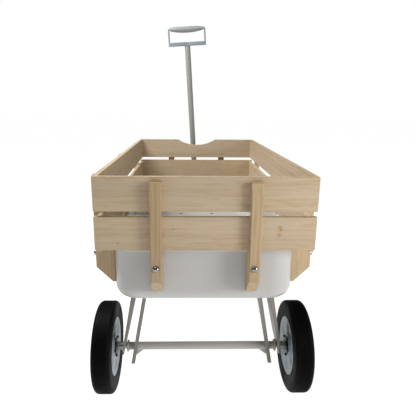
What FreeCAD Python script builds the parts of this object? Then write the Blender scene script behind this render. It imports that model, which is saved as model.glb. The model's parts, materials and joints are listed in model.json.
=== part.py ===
"""Wooden-sided wagon: steel tub, slatted stake sides, two bent-steel carriages, four wheels, pull handle.

Frame: +X right, +Y towards the handle, +Z up, origin on the ground below the middle of the whole wagon.
Every sub-part is drawn in the tub's own frame (Y = 0 half-way along the tub) and placed with SHIFT along Y.
Lengths are millimetres, angles are degrees.
"""
import FreeCAD, Part
import math
import os
import re

import Sketcher

Vector = FreeCAD.Vector
Rotation = FreeCAD.Rotation
Placement = FreeCAD.Placement

SIZES = {
    # wheels and axles
    "wheel_radius": 127.0,
    "tyre_width": 52.0,
    "tyre_wall": 8.0,
    "rim_radius": 78.5,
    "disc_half": 22.0,
    "rim_sheet": 2.5,
    "hub_radius": 21.0,
    "hub_half": 25.0,
    "bearing_radius": 17.0,
    "bearing_width": 10.0,
    "rod_radius": 8.0,
    "running_gap": 0.05,
    "side_gap": 0.3,
    "shoulder_radius": 11.5,
    "nut_half": 12.0,
    "nut_thickness": 9.0,
    "track_half": 267.0,
    "wheelbase_half": 336.0,
    "valve_hole_radius": 4.0,
    # tub
    "tub_half_width": 223.5,
    "tub_half_length": 464.0,
    "tub_base": 327.0,
    "tub_height": 146.0,
    "tub_sheet": 1.6,
    "tub_corner": 60.0,
    "tub_bottom_radius": 32.0,
    "rim_bead": 12.5,
    "bead_height": 10.0,
    # slatted sides
    "side_overhang": 30.5,
    "end_overhang": 30.0,
    "board_thick": 12.0,
    "board_height": 80.0,
    "board_gap": 12.0,
    "side_drop": 9.0,
    "board_corner": 2.5,
    "board_ease": 1.2,
    "notch_half": 83.0,
    "notch_depth": 24.0,
    # stakes
    "stake_width": 25.5,
    "stake_back": 17.2,
    "stake_top_drop": 11.0,
    "stake_bevel_high": 401.0,
    "stake_bevel_low": 361.0,
    "stake_foot": 7.0,
    "stake_ease": 2.0,
    "end_stake_x": 113.2,
    "side_stake_y": 400.0,
    "bead_relief": 12.0,
    "relief_gap": 1.5,
    # fasteners
    "stake_bolt_height": 434.5,
    "bolt_radius": 3.0,
    "bolt_gap": 0.1,
    "dome_radius": 7.9,
    "dome_height": 7.5,
    "small_nut_half": 5.0,
    "small_nut_thick": 5.0,
    "screw_radius": 2.0,
    "screw_head_radius": 3.2,
    "screw_head_height": 1.0,
    "screw_depth": 22.0,
    "screw_offset": 22.0,
    "screw_pilot": 4.0,
    "floor_bolt_x": 68.0,
    "floor_bolt_y": 44.0,
    "floor_bolt_radius": 4.0,
    "floor_head_radius": 7.0,
    "floor_bolt_length": 15.0,
    "floor_nut_half": 6.5,
    "floor_nut_thick": 6.0,
    # carriages
    "frame_sheet": 4.0,
    "frame_depth_half": 38.0,
    "leg_top_x": 178.0,
    "leg_foot_x": 226.0,
    "leg_foot_drop": 22.0,
    "flange_width": 9.0,
    "flange_sheet": 3.0,
    "flange_end": 152.0,
    "pad_half_x": 104.0,
    "pad_half_y": 60.0,
    "tube_radius": 11.0,
    "collar_radius": 17.0,
    "collar_width": 4.0,
    "collar_x": 208.0,
    "brace_foot_x": 195.0,
    "brace_foot_z": 84.0,
    "brace_slope": 0.1786,
    "brace_half": 5.0,
    "brace_rear": 23.0,
    "brace_depth": 50.0,
    "gusset_inner_x": 158.0,
    "gusset_drop": 18.0,
    "gusset_sheet": 3.0,
    # turntable
    "pan_sheet": 4.0,
    "pan_flat_radius": 96.0,
    "pan_skirt": 12.0,
    "pan_drop": 12.0,
    "pan_ring_radius": 128.0,
    "lower_sheet": 3.0,
    "kingpin_radius": 8.0,
    "kingpin_shoulder": 14.0,
    # drawbar and handle
    "pivot_y": 572.0,
    "pivot_z": 200.0,
    "pivot_radius": 5.0,
    "bar_half": 20.0,
    "bar_sheet": 3.0,
    "bar_nose": 16.0,
    "bar_heel": 18.0,
    "yoke_play": 8.0,
    "yoke_sheet": 4.0,
    "yoke_half_depth": 16.0,
    "yoke_height": 66.0,
    "yoke_web_low": 14.0,
    "lean_back": 2.5,
    "lean_left": 3.6,
    "socket_radius": 15.0,
    "socket_length": 46.0,
    "shaft_radius": 12.0,
    "shaft_wall": 1.5,
    "shaft_length": 784.0,
    "grip_half_width": 81.5,
    "grip_height": 80.5,
    "grip_bar_height": 16.0,
    "grip_bar_half": 11.0,
    "grip_strap": 7.5,
    "grip_strap_half": 8.0,
    "grip_rod_radius": 5.0,
    "grip_radius": 13.5,
    "grip_end_radius": 10.0,
    "rivet_radius": 3.0,
    "rivet_head_radius": 5.0,
    "rivet_head_height": 2.0,
}

doc = FreeCAD.newDocument("wagon")
sheet = doc.addObject("Spreadsheet::Sheet", "Sizes")
for row, (alias, number) in enumerate(SIZES.items(), start=1):
    sheet.set(f"A{row}", alias)
    sheet.set(f"B{row}", str(number))
    sheet.setAlias(f"B{row}", alias)
doc.recompute()


def size(alias):
    """A driving dimension as a number."""
    return float(getattr(sheet, alias))


def bound(formula):
    """The formula with each of the sheet's names written as FreeCAD expects it."""
    def named(match):
        word = match.group(0)
        return f"Sizes.{word}" if word in SIZES else word
    return re.sub(r"[a-z][a-z_]+[a-z]", named, formula)


# Formulas that several sub-parts share, in the sheet's names.
TUB_FLOOR = "(tub_base + tub_sheet)"
TUB_TOP = "(tub_base + tub_height)"
RAIL_BASE = "(tub_base + tub_height + 1)"
UPPER_BASE = "(tub_base + tub_height + 1 + board_height + board_gap)"
SIDE_BASE = "(tub_base + tub_height + 1 - side_drop)"
RAIL_TOP = "(tub_base + tub_height + 1 + 2*board_height + board_gap)"
STAKE_TOP = f"({RAIL_TOP} - stake_top_drop)"
RAIL_HALF_WIDTH = "(tub_half_width + side_overhang)"
RAIL_HALF_LENGTH = "(tub_half_length + end_overhang)"
SIDE_STAKE_FACE = "(tub_half_width + side_overhang + stake_back)"
END_STAKE_FACE = "(tub_half_length + end_overhang + stake_back)"
PAN_FACE = "(tub_base - pan_sheet - pan_drop)"
LOWER_TOP = f"({PAN_FACE} - side_gap)"
FRONT_FRAME_TOP = f"({LOWER_TOP} - lower_sheet)"
HEAD_TAPER = "(floor_head_radius - floor_bolt_radius - bolt_gap)"
LEG_SLOPE = "((leg_foot_x - leg_top_x)/(tub_base - wheel_radius + leg_foot_drop))"
FOOT_Z = "(wheel_radius - leg_foot_drop)"
SHIFT = f"(({END_STAKE_FACE} + dome_height)/2 - (pivot_y + yoke_half_depth)/2)"

end_stake_face = size("tub_half_length") + size("end_overhang") + size("stake_back")
side_stake_face = size("tub_half_width") + size("side_overhang") + size("stake_back")
shift_y = (end_stake_face + size("dome_height") - size("pivot_y") - size("yoke_half_depth"))/2


# ---------------------------------------------------------------- drawing helpers

def new_body(label):
    body = doc.addObject("PartDesign::Body", label)
    body.Label = label
    return body


def place(part, x="0", y="0", z="0", axis=None, angle="0"):
    """Place a sub-part by formulas; y is measured from the tub's middle."""
    if axis is not None:
        part.Placement = Placement(Vector(0, 0, 0), Rotation(axis, 1))
        part.setExpression("Placement.Rotation.Angle", bound(angle))
    part.setExpression("Placement.Base.x", bound(x))
    part.setExpression("Placement.Base.y", bound(f"{y} + {SHIFT}"))
    part.setExpression("Placement.Base.z", bound(z))
    return part


def new_sketch(body, name, role, height="0"):
    plane = next(item for item in body.Origin.OriginFeatures if item.Role == role)
    sketch = body.newObject("Sketcher::SketchObject", name)
    sketch.AttachmentSupport = [(plane, "")]
    sketch.MapMode = "FlatFace"
    if height != "0":
        sketch.setExpression("AttachmentOffset.Base.z", bound(height))
    return sketch


def pin(sketch, geometry, point, across, up):
    """Tie one point of a sketch to the origin by two formulas."""
    where = sketch.getPoint(geometry, point)
    for kind, formula, start in (("DistanceX", across, where.x), ("DistanceY", up, where.y)):
        index = sketch.addConstraint(Sketcher.Constraint(kind, -1, 1, geometry, point, start))
        sketch.setExpression(f"Constraints[{index}]", bound(formula))


def polygon(sketch, corners):
    """A closed straight-sided loop; each corner is a pair of formulas."""
    count = len(corners)
    first = sketch.GeometryCount
    turn = 2*math.pi/count
    rough = [Vector(50*math.cos(turn*i), 50*math.sin(turn*i), 0) for i in range(count)]
    for i in range(count):
        sketch.addGeometry(Part.LineSegment(rough[i], rough[(i + 1) % count]))
    for i in range(count):
        sketch.addConstraint(Sketcher.Constraint("Coincident", first + i, 2, first + (i + 1) % count, 1))
    for i, (across, up) in enumerate(corners):
        pin(sketch, first + i, 1, across, up)


def circle(sketch, radius, across="0", up="0"):
    index = sketch.addGeometry(Part.Circle(Vector(1, 1, 0), Vector(0, 0, 1), 5))
    pin(sketch, index, 3, across, up)
    tie = sketch.addConstraint(Sketcher.Constraint("Radius", index, 5))
    sketch.setExpression(f"Constraints[{tie}]", bound(radius))


def pad(body, sketch, length, both=False, back=False):
    feature = body.newObject("PartDesign::Pad", f"{sketch.Name}_pad")
    feature.Profile = sketch
    feature.AllowMultiFace = True
    feature.setExpression("Length", bound(length))
    feature.SideType = "Symmetric" if both else "One side"
    feature.Reversed = back
    doc.recompute()
    return feature


def pocket(body, sketch, length="", both=False, back=False):
    """Cut a sketch out of the body; with no length it goes through everything both ways."""
    before = body.Shape.Volume
    feature = body.newObject("PartDesign::Pocket", f"{sketch.Name}_cut")
    feature.Profile = sketch
    feature.AllowMultiFace = True
    if length:
        feature.setExpression("Length", bound(length))
    else:
        feature.Type = "ThroughAll"
    feature.SideType = "Symmetric" if both or not length else "One side"
    feature.Reversed = back
    doc.recompute()
    if body.Shape.Volume > before - 0.5:
        raise RuntimeError(f"{feature.Label} cuts nothing")
    return feature


def revolve(body, sketch, axis="V_Axis"):
    feature = body.newObject("PartDesign::Revolution", f"{sketch.Name}_turn")
    feature.Profile = sketch
    feature.AllowMultiFace = True
    feature.ReferenceAxis = (sketch, [axis])
    feature.Angle = 360
    doc.recompute()
    return feature


def edges_where(shape, test):
    return [f"Edge{i}" for i, edge in enumerate(shape.Edges, start=1) if test(edge)]


def along(direction):
    """A test for straight edges parallel to a direction."""
    def test(edge):
        if edge.Curve.TypeId != "Part::GeomLine":
            return False
        return abs(abs(edge.Curve.Direction.dot(direction)) - 1) < 1e-6
    return test


def fillet(body, radius, test):
    base = body.Tip
    feature = body.newObject("PartDesign::Fillet", f"{base.Name}_round")
    feature.Base = (base, edges_where(base.Shape, test))
    feature.setExpression("Radius", bound(radius))
    doc.recompute()
    return feature


def group(label, pieces):
    """Copies of finished bodies as one sub-part: pieces is a list of (body, placement)."""
    links = []
    for number, (body, where) in enumerate(pieces, start=1):
        link = doc.addObject("App::Link", f"{label}_{number}")
        link.LinkedObject = body
        link.LinkTransform = False
        link.Placement = where
        links.append(link)
    whole = doc.addObject("Part::Compound", label)
    whole.Label = label
    whole.Links = links
    return whole


def at(x, y, z, rotation=Rotation()):
    """A placement in the wagon's frame, with y measured from the tub's middle."""
    return Placement(Vector(x, y + shift_y, z), rotation)


X_AXIS = Vector(1, 0, 0)
Y_AXIS = Vector(0, 1, 0)
Z_AXIS = Vector(0, 0, 1)
OUTWARD = {"rear": Rotation(Z_AXIS, 0), "front": Rotation(Z_AXIS, 180),
           "left": Rotation(Z_AXIS, -90), "right": Rotation(Z_AXIS, 90)}
parts = []


# ---------------------------------------------------------------- tub

def floor_places():
    """Where the floor bolts stand, from the tub's middle."""
    for end in (-1, 1):
        for side_x in (-1, 1):
            for side_y in (-1, 1):
                yield (side_x*size("floor_bolt_x"),
                       end*size("wheelbase_half") + side_y*size("floor_bolt_y"))


def rounded_box(name, half_x, half_y, height, level, corner):
    """A padded rectangle with rounded upright corners."""
    body = doc.addObject("PartDesign::Body", name)
    sketch = new_sketch(body, f"{name}_plan", "XY_Plane", level)
    polygon(sketch, [(f"-{half_x}", f"-{half_y}"), (half_x, f"-{half_y}"), (half_x, half_y),
                     (f"-{half_x}", half_y)])
    pad(body, sketch, height)
    fillet(body, corner, along(Z_AXIS))
    return body


def make_tub():
    shell = rounded_box("tub_shell", "tub_half_width", "tub_half_length", "tub_height", "tub_base",
                        "tub_corner")
    base = size("tub_base")
    fillet(shell, "tub_bottom_radius", lambda edge: abs(edge.BoundBox.ZMax - base) < 1e-6)
    hollow = rounded_box("tub_hollow", "(tub_half_width - tub_sheet)", "(tub_half_length - tub_sheet)",
                         "tub_height", TUB_FLOOR, "(tub_corner - tub_sheet)")
    floor = base + size("tub_sheet")
    fillet(hollow, "(tub_bottom_radius - tub_sheet)", lambda edge: abs(edge.BoundBox.ZMax - floor) < 1e-6)
    bead = rounded_box("tub_bead", "(tub_half_width + rim_bead)", "(tub_half_length + rim_bead)",
                       "bead_height", f"{TUB_TOP} - bead_height", "(tub_corner + rim_bead)")
    fillet(bead, "bead_height*0.45", lambda edge: edge.BoundBox.ZLength < 1e-6)

    dimples, cutters = [], []
    for number, (x, y) in enumerate(floor_places(), start=1):
        cone = doc.addObject("Part::Cone", f"dimple_{number}")
        cone.setExpression("Radius1", bound("floor_bolt_radius + bolt_gap + tub_sheet*(sqrt(2) - 1)"))
        cone.setExpression("Radius2", bound("floor_head_radius + tub_sheet*(sqrt(2) - 1)"))
        cone.setExpression("Height", bound(HEAD_TAPER))
        dimples.append(cone)
        head = doc.addObject("Part::Cone", f"sink_{number}")
        head.setExpression("Radius1", bound("floor_bolt_radius + bolt_gap"))
        head.setExpression("Radius2", bound("floor_head_radius"))
        head.setExpression("Height", bound(HEAD_TAPER))
        bore = doc.addObject("Part::Cylinder", f"floor_bore_{number}")
        bore.setExpression("Radius", bound("floor_bolt_radius + bolt_gap"))
        bore.Height = 20
        doc.recompute()
        cone.Placement = Placement(Vector(x, y, base - cone.Height.Value), Rotation())
        head.Placement = Placement(Vector(x, y, floor - head.Height.Value), Rotation())
        bore.Placement = Placement(Vector(x, y, base - 10), Rotation())
        cutters += [head, bore]
    for number, (where, turn) in enumerate(stake_places(), start=1):
        bore = doc.addObject("Part::Cylinder", f"wall_bore_{number}")
        bore.setExpression("Radius", bound("bolt_radius + bolt_gap"))
        bore.Height = 120
        inward = turn.multVec(Y_AXIS)
        start = Vector(where.x, where.y, size("stake_bolt_height")) - inward*10
        bore.Placement = Placement(start, Rotation(Z_AXIS, inward))
        cutters.append(bore)

    outer = doc.addObject("Part::MultiFuse", "tub_outer")
    outer.Shapes = [shell, bead] + dimples
    inner = doc.addObject("Part::MultiFuse", "tub_inner")
    inner.Shapes = [hollow] + cutters
    tub = doc.addObject("Part::Cut", "tub")
    tub.Base = outer
    tub.Tool = inner
    tub.Label = "tub"
    place(tub)
    parts.append(tub)


# ---------------------------------------------------------------- slatted sides

def stake_places():
    """Each stake's foot on its outer face, from the tub's middle, and the turn of its side."""
    for side in ("rear", "front"):
        for x in (-1, 1):
            out = -1 if side == "rear" else 1
            yield Vector(x*size("end_stake_x"), out*end_stake_face, 0), OUTWARD[side]
    for side in ("left", "right"):
        out = -1 if side == "left" else 1
        for y in (-1, 0, 1):
            yield Vector(out*side_stake_face, y*size("side_stake_y"), 0), OUTWARD[side]


def make_board(label, half_length, level, stakes, turn, x, y, notch=False):
    """One slat, drawn with its outer face on the XZ plane and its thickness towards +Y."""
    body = new_body(label)
    sketch = new_sketch(body, f"{label}_face", "XZ_Plane")
    polygon(sketch, [(f"-{half_length}", "0"), (half_length, "0"), (half_length, "board_height"),
                     (f"-{half_length}", "board_height")])
    pad(body, sketch, "board_thick", back=True)
    fillet(body, "board_corner", along(Y_AXIS))
    if notch:
        arc = new_sketch(body, f"{label}_notch", "XZ_Plane")
        sweep = "(notch_half^2 + notch_depth^2)/(2*notch_depth)"
        circle(arc, sweep, "0", f"board_height - notch_depth + {sweep}")
        pocket(body, arc)
    fillet(body, "board_ease", lambda edge: edge.BoundBox.YLength < 1e-6)
    holes = new_sketch(body, f"{label}_screw_holes", "XZ_Plane")
    for stake in stakes:
        for up in ("-", "+"):
            circle(holes, "screw_radius", stake, f"board_height/2 {up} screw_offset")
    pocket(body, holes)
    place(body, x, y, level, Z_AXIS, str(math.degrees(turn.Angle)*round(turn.Axis.z)))
    parts.append(body)


def make_boards():
    end_stakes = ["-end_stake_x", "end_stake_x"]
    side_stakes = ["-side_stake_y", "0", "side_stake_y"]
    side_half = f"({RAIL_HALF_LENGTH} - board_thick)"
    for tier, level, side_level in (("lower", RAIL_BASE, SIDE_BASE), ("upper", UPPER_BASE, UPPER_BASE)):
        make_board(f"rear_board_{tier}", RAIL_HALF_WIDTH, level, end_stakes, OUTWARD["rear"],
                   "0", f"-{RAIL_HALF_LENGTH}")
        make_board(f"front_board_{tier}", RAIL_HALF_WIDTH, level, end_stakes, OUTWARD["front"],
                   "0", RAIL_HALF_LENGTH, notch=tier == "upper")
        make_board(f"left_board_{tier}", side_half, side_level, side_stakes, OUTWARD["left"],
                   f"-{RAIL_HALF_WIDTH}", "0")
        make_board(f"right_board_{tier}", side_half, side_level, side_stakes, OUTWARD["right"],
                   RAIL_HALF_WIDTH, "0")


def make_stake(label, wall, face, base, x, y, turn):
    """One stake, drawn with its outer face on the XZ plane; face - wall is its depth at the tub.

    Above base, the underside of the lower board, only the outer part carries on up behind the boards.
    """
    depth = f"({face} - {wall})"
    body = new_body(label)
    sketch = new_sketch(body, f"{label}_side", "YZ_Plane")
    relief = f"({depth} - rim_bead - relief_gap)"
    polygon(sketch, [("0", "stake_bevel_high"), (f"{depth} - stake_foot", "stake_bevel_low"),
                     (depth, "stake_bevel_low"), (depth, f"{RAIL_BASE} - bead_relief"),
                     (relief, f"{RAIL_BASE} - bead_relief"), (relief, base), ("stake_back", base),
                     ("stake_back", STAKE_TOP), ("0", STAKE_TOP)])
    pad(body, sketch, "stake_width", both=True)
    fillet(body, "stake_ease", lambda edge: edge.BoundBox.YMax < 1e-6 and edge.BoundBox.XLength < 1e-6)
    bore = new_sketch(body, f"{label}_bolt_hole", "XZ_Plane")
    circle(bore, "bolt_radius + bolt_gap", "0", "stake_bolt_height")
    pocket(body, bore)
    screws = new_sketch(body, f"{label}_screw_holes", "XZ_Plane", "-stake_back")
    for level in (base, UPPER_BASE):
        for up in ("-", "+"):
            circle(screws, "screw_radius", "0", f"{level} + board_height/2 {up} screw_offset")
    pocket(body, screws, "screw_depth - board_thick + screw_pilot", back=True)
    place(body, x, y, "0", Z_AXIS, str(math.degrees(turn.Angle)*round(turn.Axis.z)))
    parts.append(body)


def make_stakes():
    for end, sign in (("rear", "-"), ("front", "")):
        for side, x in (("left", "-end_stake_x"), ("right", "end_stake_x")):
            make_stake(f"{end}_stake_{side}", "tub_half_length", END_STAKE_FACE, RAIL_BASE, x,
                       f"{sign}{END_STAKE_FACE}", OUTWARD[end])
    for side, sign in (("left", "-"), ("right", "")):
        for where, y in (("rear", "-side_stake_y"), ("middle", "0"), ("front", "side_stake_y")):
            make_stake(f"{side}_stake_{where}", "tub_half_width", SIDE_STAKE_FACE, SIDE_BASE,
                       f"{sign}{SIDE_STAKE_FACE}", y, OUTWARD[side])


# ---------------------------------------------------------------- fasteners

def hexagon(sketch, half):
    """A regular hexagon with its flats 2*half apart."""
    reach = f"{half}*2/sqrt(3)"
    corners = [(reach, "0"), (f"{reach}/2", half), (f"-{reach}/2", half), (f"-{reach}", "0"),
               (f"-{reach}/2", f"-{half}"), (f"{reach}/2", f"-{half}")]
    polygon(sketch, corners)


def make_nut(name, half, thickness, bore):
    """A hexagon nut on the XY plane, rising along +Z."""
    body = doc.addObject("PartDesign::Body", name)
    sketch = new_sketch(body, f"{name}_plan", "XY_Plane")
    hexagon(sketch, half)
    circle(sketch, bore)
    pad(body, sketch, thickness)
    return body


def make_bolt(name, head_radius, head_height, radius, length):
    """A domed bolt: its head stands on the XY plane along +Z and its shank runs down."""
    body = doc.addObject("PartDesign::Body", name)
    sketch = new_sketch(body, f"{name}_half", "XZ_Plane")
    polygon(sketch, [("0", head_height), (f"{head_radius}*0.62", f"{head_height}*0.84"),
                     (f"{head_radius}*0.9", f"{head_height}*0.46"), (head_radius, "0"),
                     (radius, "0"), (radius, f"-{length}"), ("0", f"-{length}")])
    revolve(body, sketch)
    return body


def make_stake_fasteners():
    depth = "(side_overhang + stake_back + tub_sheet + small_nut_thick + 1)"
    bolt = make_bolt("stake_bolt", "dome_radius", "dome_height", "bolt_radius", depth)
    nut = make_nut("stake_nut", "small_nut_half", "small_nut_thick", "bolt_radius")
    bolts, nuts = [], []
    for where, turn in stake_places():
        outward = turn.multVec(Vector(0, -1, 0))
        facing = Rotation(Z_AXIS, outward)
        height = size("stake_bolt_height")
        depth_mm = side_stake_face - size("tub_half_width") + size("tub_sheet") + size("small_nut_thick")
        inside = where - outward*depth_mm
        bolts.append((bolt, at(where.x, where.y, height, facing)))
        nuts.append((nut, at(inside.x, inside.y, height, facing)))
    parts.append(group("stake_bolts", bolts))
    parts.append(group("stake_nuts", nuts))

    screw = make_bolt("board_screw", "screw_head_radius", "screw_head_height", "screw_radius", "screw_depth")
    screws = []
    half_board = size("board_height")/2
    end_base = size("tub_base") + size("tub_height") + 1
    upper_base = end_base + size("board_height") + size("board_gap")
    for where, turn in stake_places():
        inward = turn.multVec(Y_AXIS)
        head = where + inward*(size("stake_back") + size("board_thick"))
        lower_base = end_base - size("side_drop")*abs(inward.x)
        for base in (lower_base, upper_base):
            for up in (-1, 1):
                height = base + half_board + up*size("screw_offset")
                screws.append((screw, at(head.x, head.y, height, Rotation(Z_AXIS, inward))))
    parts.append(group("board_screws", screws))


def make_floor_fasteners():
    """Countersunk bolts, flush with the tub's floor, and the nuts below the bolster plates."""
    body = doc.addObject("PartDesign::Body", "floor_bolt")
    sketch = new_sketch(body, "floor_bolt_half", "XZ_Plane")
    polygon(sketch, [("0", "0"), ("floor_head_radius", "0"),
                     ("floor_bolt_radius + bolt_gap", f"-{HEAD_TAPER}"),
                     ("floor_bolt_radius", f"-{HEAD_TAPER} - bolt_gap"),
                     ("floor_bolt_radius", "-floor_bolt_length"), ("0", "-floor_bolt_length")])
    revolve(body, sketch)
    nut = make_nut("floor_nut", "floor_nut_half", "floor_nut_thick", "floor_bolt_radius")
    floor = size("tub_base") + size("tub_sheet")
    under = size("tub_base") - size("frame_sheet") - size("floor_nut_thick")
    parts.append(group("floor_bolts", [(body, at(x, y, floor)) for x, y in floor_places()]))
    parts.append(group("floor_nuts", [(nut, at(x, y, under)) for x, y in floor_places()]))


# ---------------------------------------------------------------- carriages

def leg_x(level, top, inset="0"):
    """The outer face of a leg at a height, inset by a wall measured square to it."""
    return f"(leg_top_x + {LEG_SLOPE}*(tub_base - {level}) - {inset}*sqrt(1 + {LEG_SLOPE}^2))"


def floor_bolt_holes(body, label, top):
    """Four bores through a plate under the tub, each widened above for the floor's dimple."""
    for name, radius, depth in (("sinks", "floor_head_radius + tub_sheet*0.5", f"{HEAD_TAPER} + bolt_gap"),
                                ("bores", "floor_bolt_radius + bolt_gap", "frame_sheet + pan_sheet")):
        holes = new_sketch(body, f"{label}_{name}", "XY_Plane", top)
        for x in ("-floor_bolt_x", "floor_bolt_x"):
            for across in ("-floor_bolt_y", "floor_bolt_y"):
                circle(holes, radius, x, across)
        pocket(body, holes, depth)


def make_frame(label, top, y, turn, padded):
    """The bent-steel carriage frame: a level web across the top and a splayed leg down to each wheel."""
    body = new_body(label)
    front = new_sketch(body, f"{label}_front", "XZ_Plane")
    inner_top = f"({top} - frame_sheet)"
    outer_foot, outer_top = leg_x(FOOT_Z, top), leg_x(top, top)
    inner_foot, inner_knee = leg_x(FOOT_Z, top, "frame_sheet"), leg_x(inner_top, top, "frame_sheet")
    polygon(front, [(f"-{outer_foot}", FOOT_Z), (f"-{outer_top}", top), (outer_top, top),
                    (outer_foot, FOOT_Z), (inner_foot, FOOT_Z), (inner_knee, inner_top),
                    (f"-{inner_knee}", inner_top), (f"-{inner_foot}", FOOT_Z)])
    pad(body, front, "frame_depth_half*2", both=True)

    side = new_sketch(body, f"{label}_side", "YZ_Plane")
    out = "(frame_depth_half + 5)"
    for sign in ("-", ""):
        foot = f"{sign}leg_foot_drop*0.5"
        polygon(side, [(f"{sign}frame_depth_half", "flange_end"), (f"{sign}leg_foot_drop", "wheel_radius"),
                       (f"{sign}leg_foot_drop*0.87", "wheel_radius - leg_foot_drop*0.5"),
                       (foot, "wheel_radius - leg_foot_drop*0.87"), (foot, f"{FOOT_Z} - 5"),
                       (f"{sign}{out}", f"{FOOT_Z} - 5"), (f"{sign}{out}", "flange_end")])
    pocket(body, side)

    flange_top = f"({top} - frame_sheet*2)"
    for sign, level in (("rear", "(frame_depth_half - flange_sheet)"), ("front", "-frame_depth_half")):
        flange = new_sketch(body, f"{label}_flange_{sign}", "XZ_Plane", level)
        for hand in ("-", ""):
            polygon(flange, [(f"{hand}({leg_x(flange_top, top)} - 1)", flange_top),
                             (f"{hand}({leg_x(flange_top, top)} + flange_width)", flange_top),
                             (f"{hand}({leg_x('flange_end', top)} + flange_width*0.3)", "flange_end"),
                             (f"{hand}({leg_x('flange_end', top)} - 1)", "flange_end")])
        pad(body, flange, "flange_sheet")

    if padded:
        plate = new_sketch(body, f"{label}_pad", "XY_Plane", inner_top)
        polygon(plate, [("-pad_half_x", "-pad_half_y"), ("pad_half_x", "-pad_half_y"),
                        ("pad_half_x", "pad_half_y"), ("-pad_half_x", "pad_half_y")])
        pad(body, plate, "frame_sheet")
        floor_bolt_holes(body, label, top)
    else:
        pin_hole = new_sketch(body, f"{label}_pin_hole", "XY_Plane", top)
        circle(pin_hole, "kingpin_radius + running_gap")
        pocket(body, pin_hole, "frame_sheet*2")

    rod = new_sketch(body, f"{label}_rod_holes", "YZ_Plane")
    circle(rod, "rod_radius", "0", "wheel_radius")
    pocket(body, rod)
    place(body, "0", y, "0", Z_AXIS, turn)
    parts.append(body)


def brace_x(level, side):
    return f"(brace_foot_x - ({level} - brace_foot_z)*brace_slope {side} brace_half)"


def make_braces(label, top, y, turn):
    """The two inner struts, from the underside of the frame's web down past the axle tube."""
    body = new_body(label)
    face = new_sketch(body, f"{label}_face", "XZ_Plane", "-brace_depth + brace_rear")
    for hand in ("-", ""):
        polygon(face, [(f"{hand}{brace_x('brace_foot_z', '-')}", "brace_foot_z"),
                       (f"{hand}{brace_x(top, '-')}", top), (f"{hand}{brace_x(top, '+')}", top),
                       (f"{hand}{brace_x('brace_foot_z', '+')}", "brace_foot_z")])
    pad(body, face, "brace_depth")
    side = new_sketch(body, f"{label}_taper", "YZ_Plane")
    deep = "(brace_depth - brace_rear)"
    polygon(side, [(f"{deep} + 1", "brace_foot_z - 1"), ("-tube_radius", "brace_foot_z - 1"),
                   ("-tube_radius", "wheel_radius + tube_radius*2"), (deep, f"{top} - frame_sheet"),
                   (f"{deep} + 1", f"{top} - frame_sheet")])
    pocket(body, side)
    place(body, "0", y, "0", Z_AXIS, turn)
    parts.append(body)


def make_axle(end, y, turn):
    """Axle tube with its welded gussets, the rod inside it, the collars and the end nuts."""
    tube = new_body(f"{end}_axle_tube")
    ring = new_sketch(tube, f"{end}_tube_ring", "YZ_Plane")
    circle(ring, "tube_radius", "0", "wheel_radius")
    reach = leg_x("(wheel_radius + tube_radius)", "", "frame_sheet")
    pad(tube, ring, f"2*{reach} - 1", both=True)
    fins = new_sketch(tube, f"{end}_gusset", "XZ_Plane")
    low = "wheel_radius - tube_radius*0.5"
    foot = "(wheel_radius - tube_radius - gusset_drop)"
    for hand in ("-", ""):
        polygon(fins, [(f"{hand}gusset_inner_x", low), (f"{hand}{brace_x(foot, '-')}", foot),
                       (f"{hand}({brace_x(low, '-')} + brace_half)", low)])
    pad(tube, fins, "gusset_sheet", both=True)
    bore = new_sketch(tube, f"{end}_tube_bore", "YZ_Plane")
    circle(bore, "rod_radius", "0", "wheel_radius")
    pocket(tube, bore)
    place(tube, "0", y, "0", Z_AXIS, turn)
    parts.append(tube)

    rod = new_body(f"{end}_axle_rod")
    half = new_sketch(rod, f"{end}_rod_half", "XY_Plane")
    stop = "(track_half - hub_half - side_gap)"
    tip = "(track_half + hub_half + side_gap*2 + nut_thickness)"
    start = f"({leg_x(f'(wheel_radius - shoulder_radius)', '')} + 0.5)"
    polygon(half, [(f"-{tip}", "0"), (f"-{tip}", "rod_radius"), (f"-{stop}", "rod_radius"),
                   (f"-{stop}", "shoulder_radius"), (f"-{start}", "shoulder_radius"),
                   (f"-{start}", "rod_radius"), (start, "rod_radius"), (start, "shoulder_radius"),
                   (stop, "shoulder_radius"), (stop, "rod_radius"), (tip, "rod_radius"), (tip, "0")])
    revolve(rod, half, "H_Axis")
    place(rod, "0", y, "wheel_radius", Z_AXIS, turn)
    parts.append(rod)

    collar = doc.addObject("PartDesign::Body", f"{end}_collar")
    face = new_sketch(collar, f"{end}_collar_face", "YZ_Plane")
    circle(face, "collar_radius")
    circle(face, "tube_radius")
    pad(collar, face, "collar_width")
    inside = size("tube_radius") + 1
    fillet(collar, "collar_width*0.3",
           lambda edge: edge.Curve.TypeId == "Part::GeomCircle" and edge.Curve.Radius > inside)
    middle = -size("wheelbase_half") if end == "rear" else size("wheelbase_half")
    flip = Rotation(Z_AXIS, 180)
    parts.append(group(f"{end}_axle_collars", [
        (collar, at(size("collar_x"), middle, size("wheel_radius"))),
        (collar, at(-size("collar_x"), middle, size("wheel_radius"), flip))]))

    nut = make_nut(f"{end}_nut", "nut_half", "nut_thickness", "rod_radius")
    seat = size("track_half") + size("hub_half") + size("side_gap")
    parts.append(group(f"{end}_axle_nuts", [
        (nut, at(seat, middle, size("wheel_radius"), Rotation(Y_AXIS, 90))),
        (nut, at(-seat, middle, size("wheel_radius"), Rotation(Y_AXIS, -90)))]))


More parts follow.
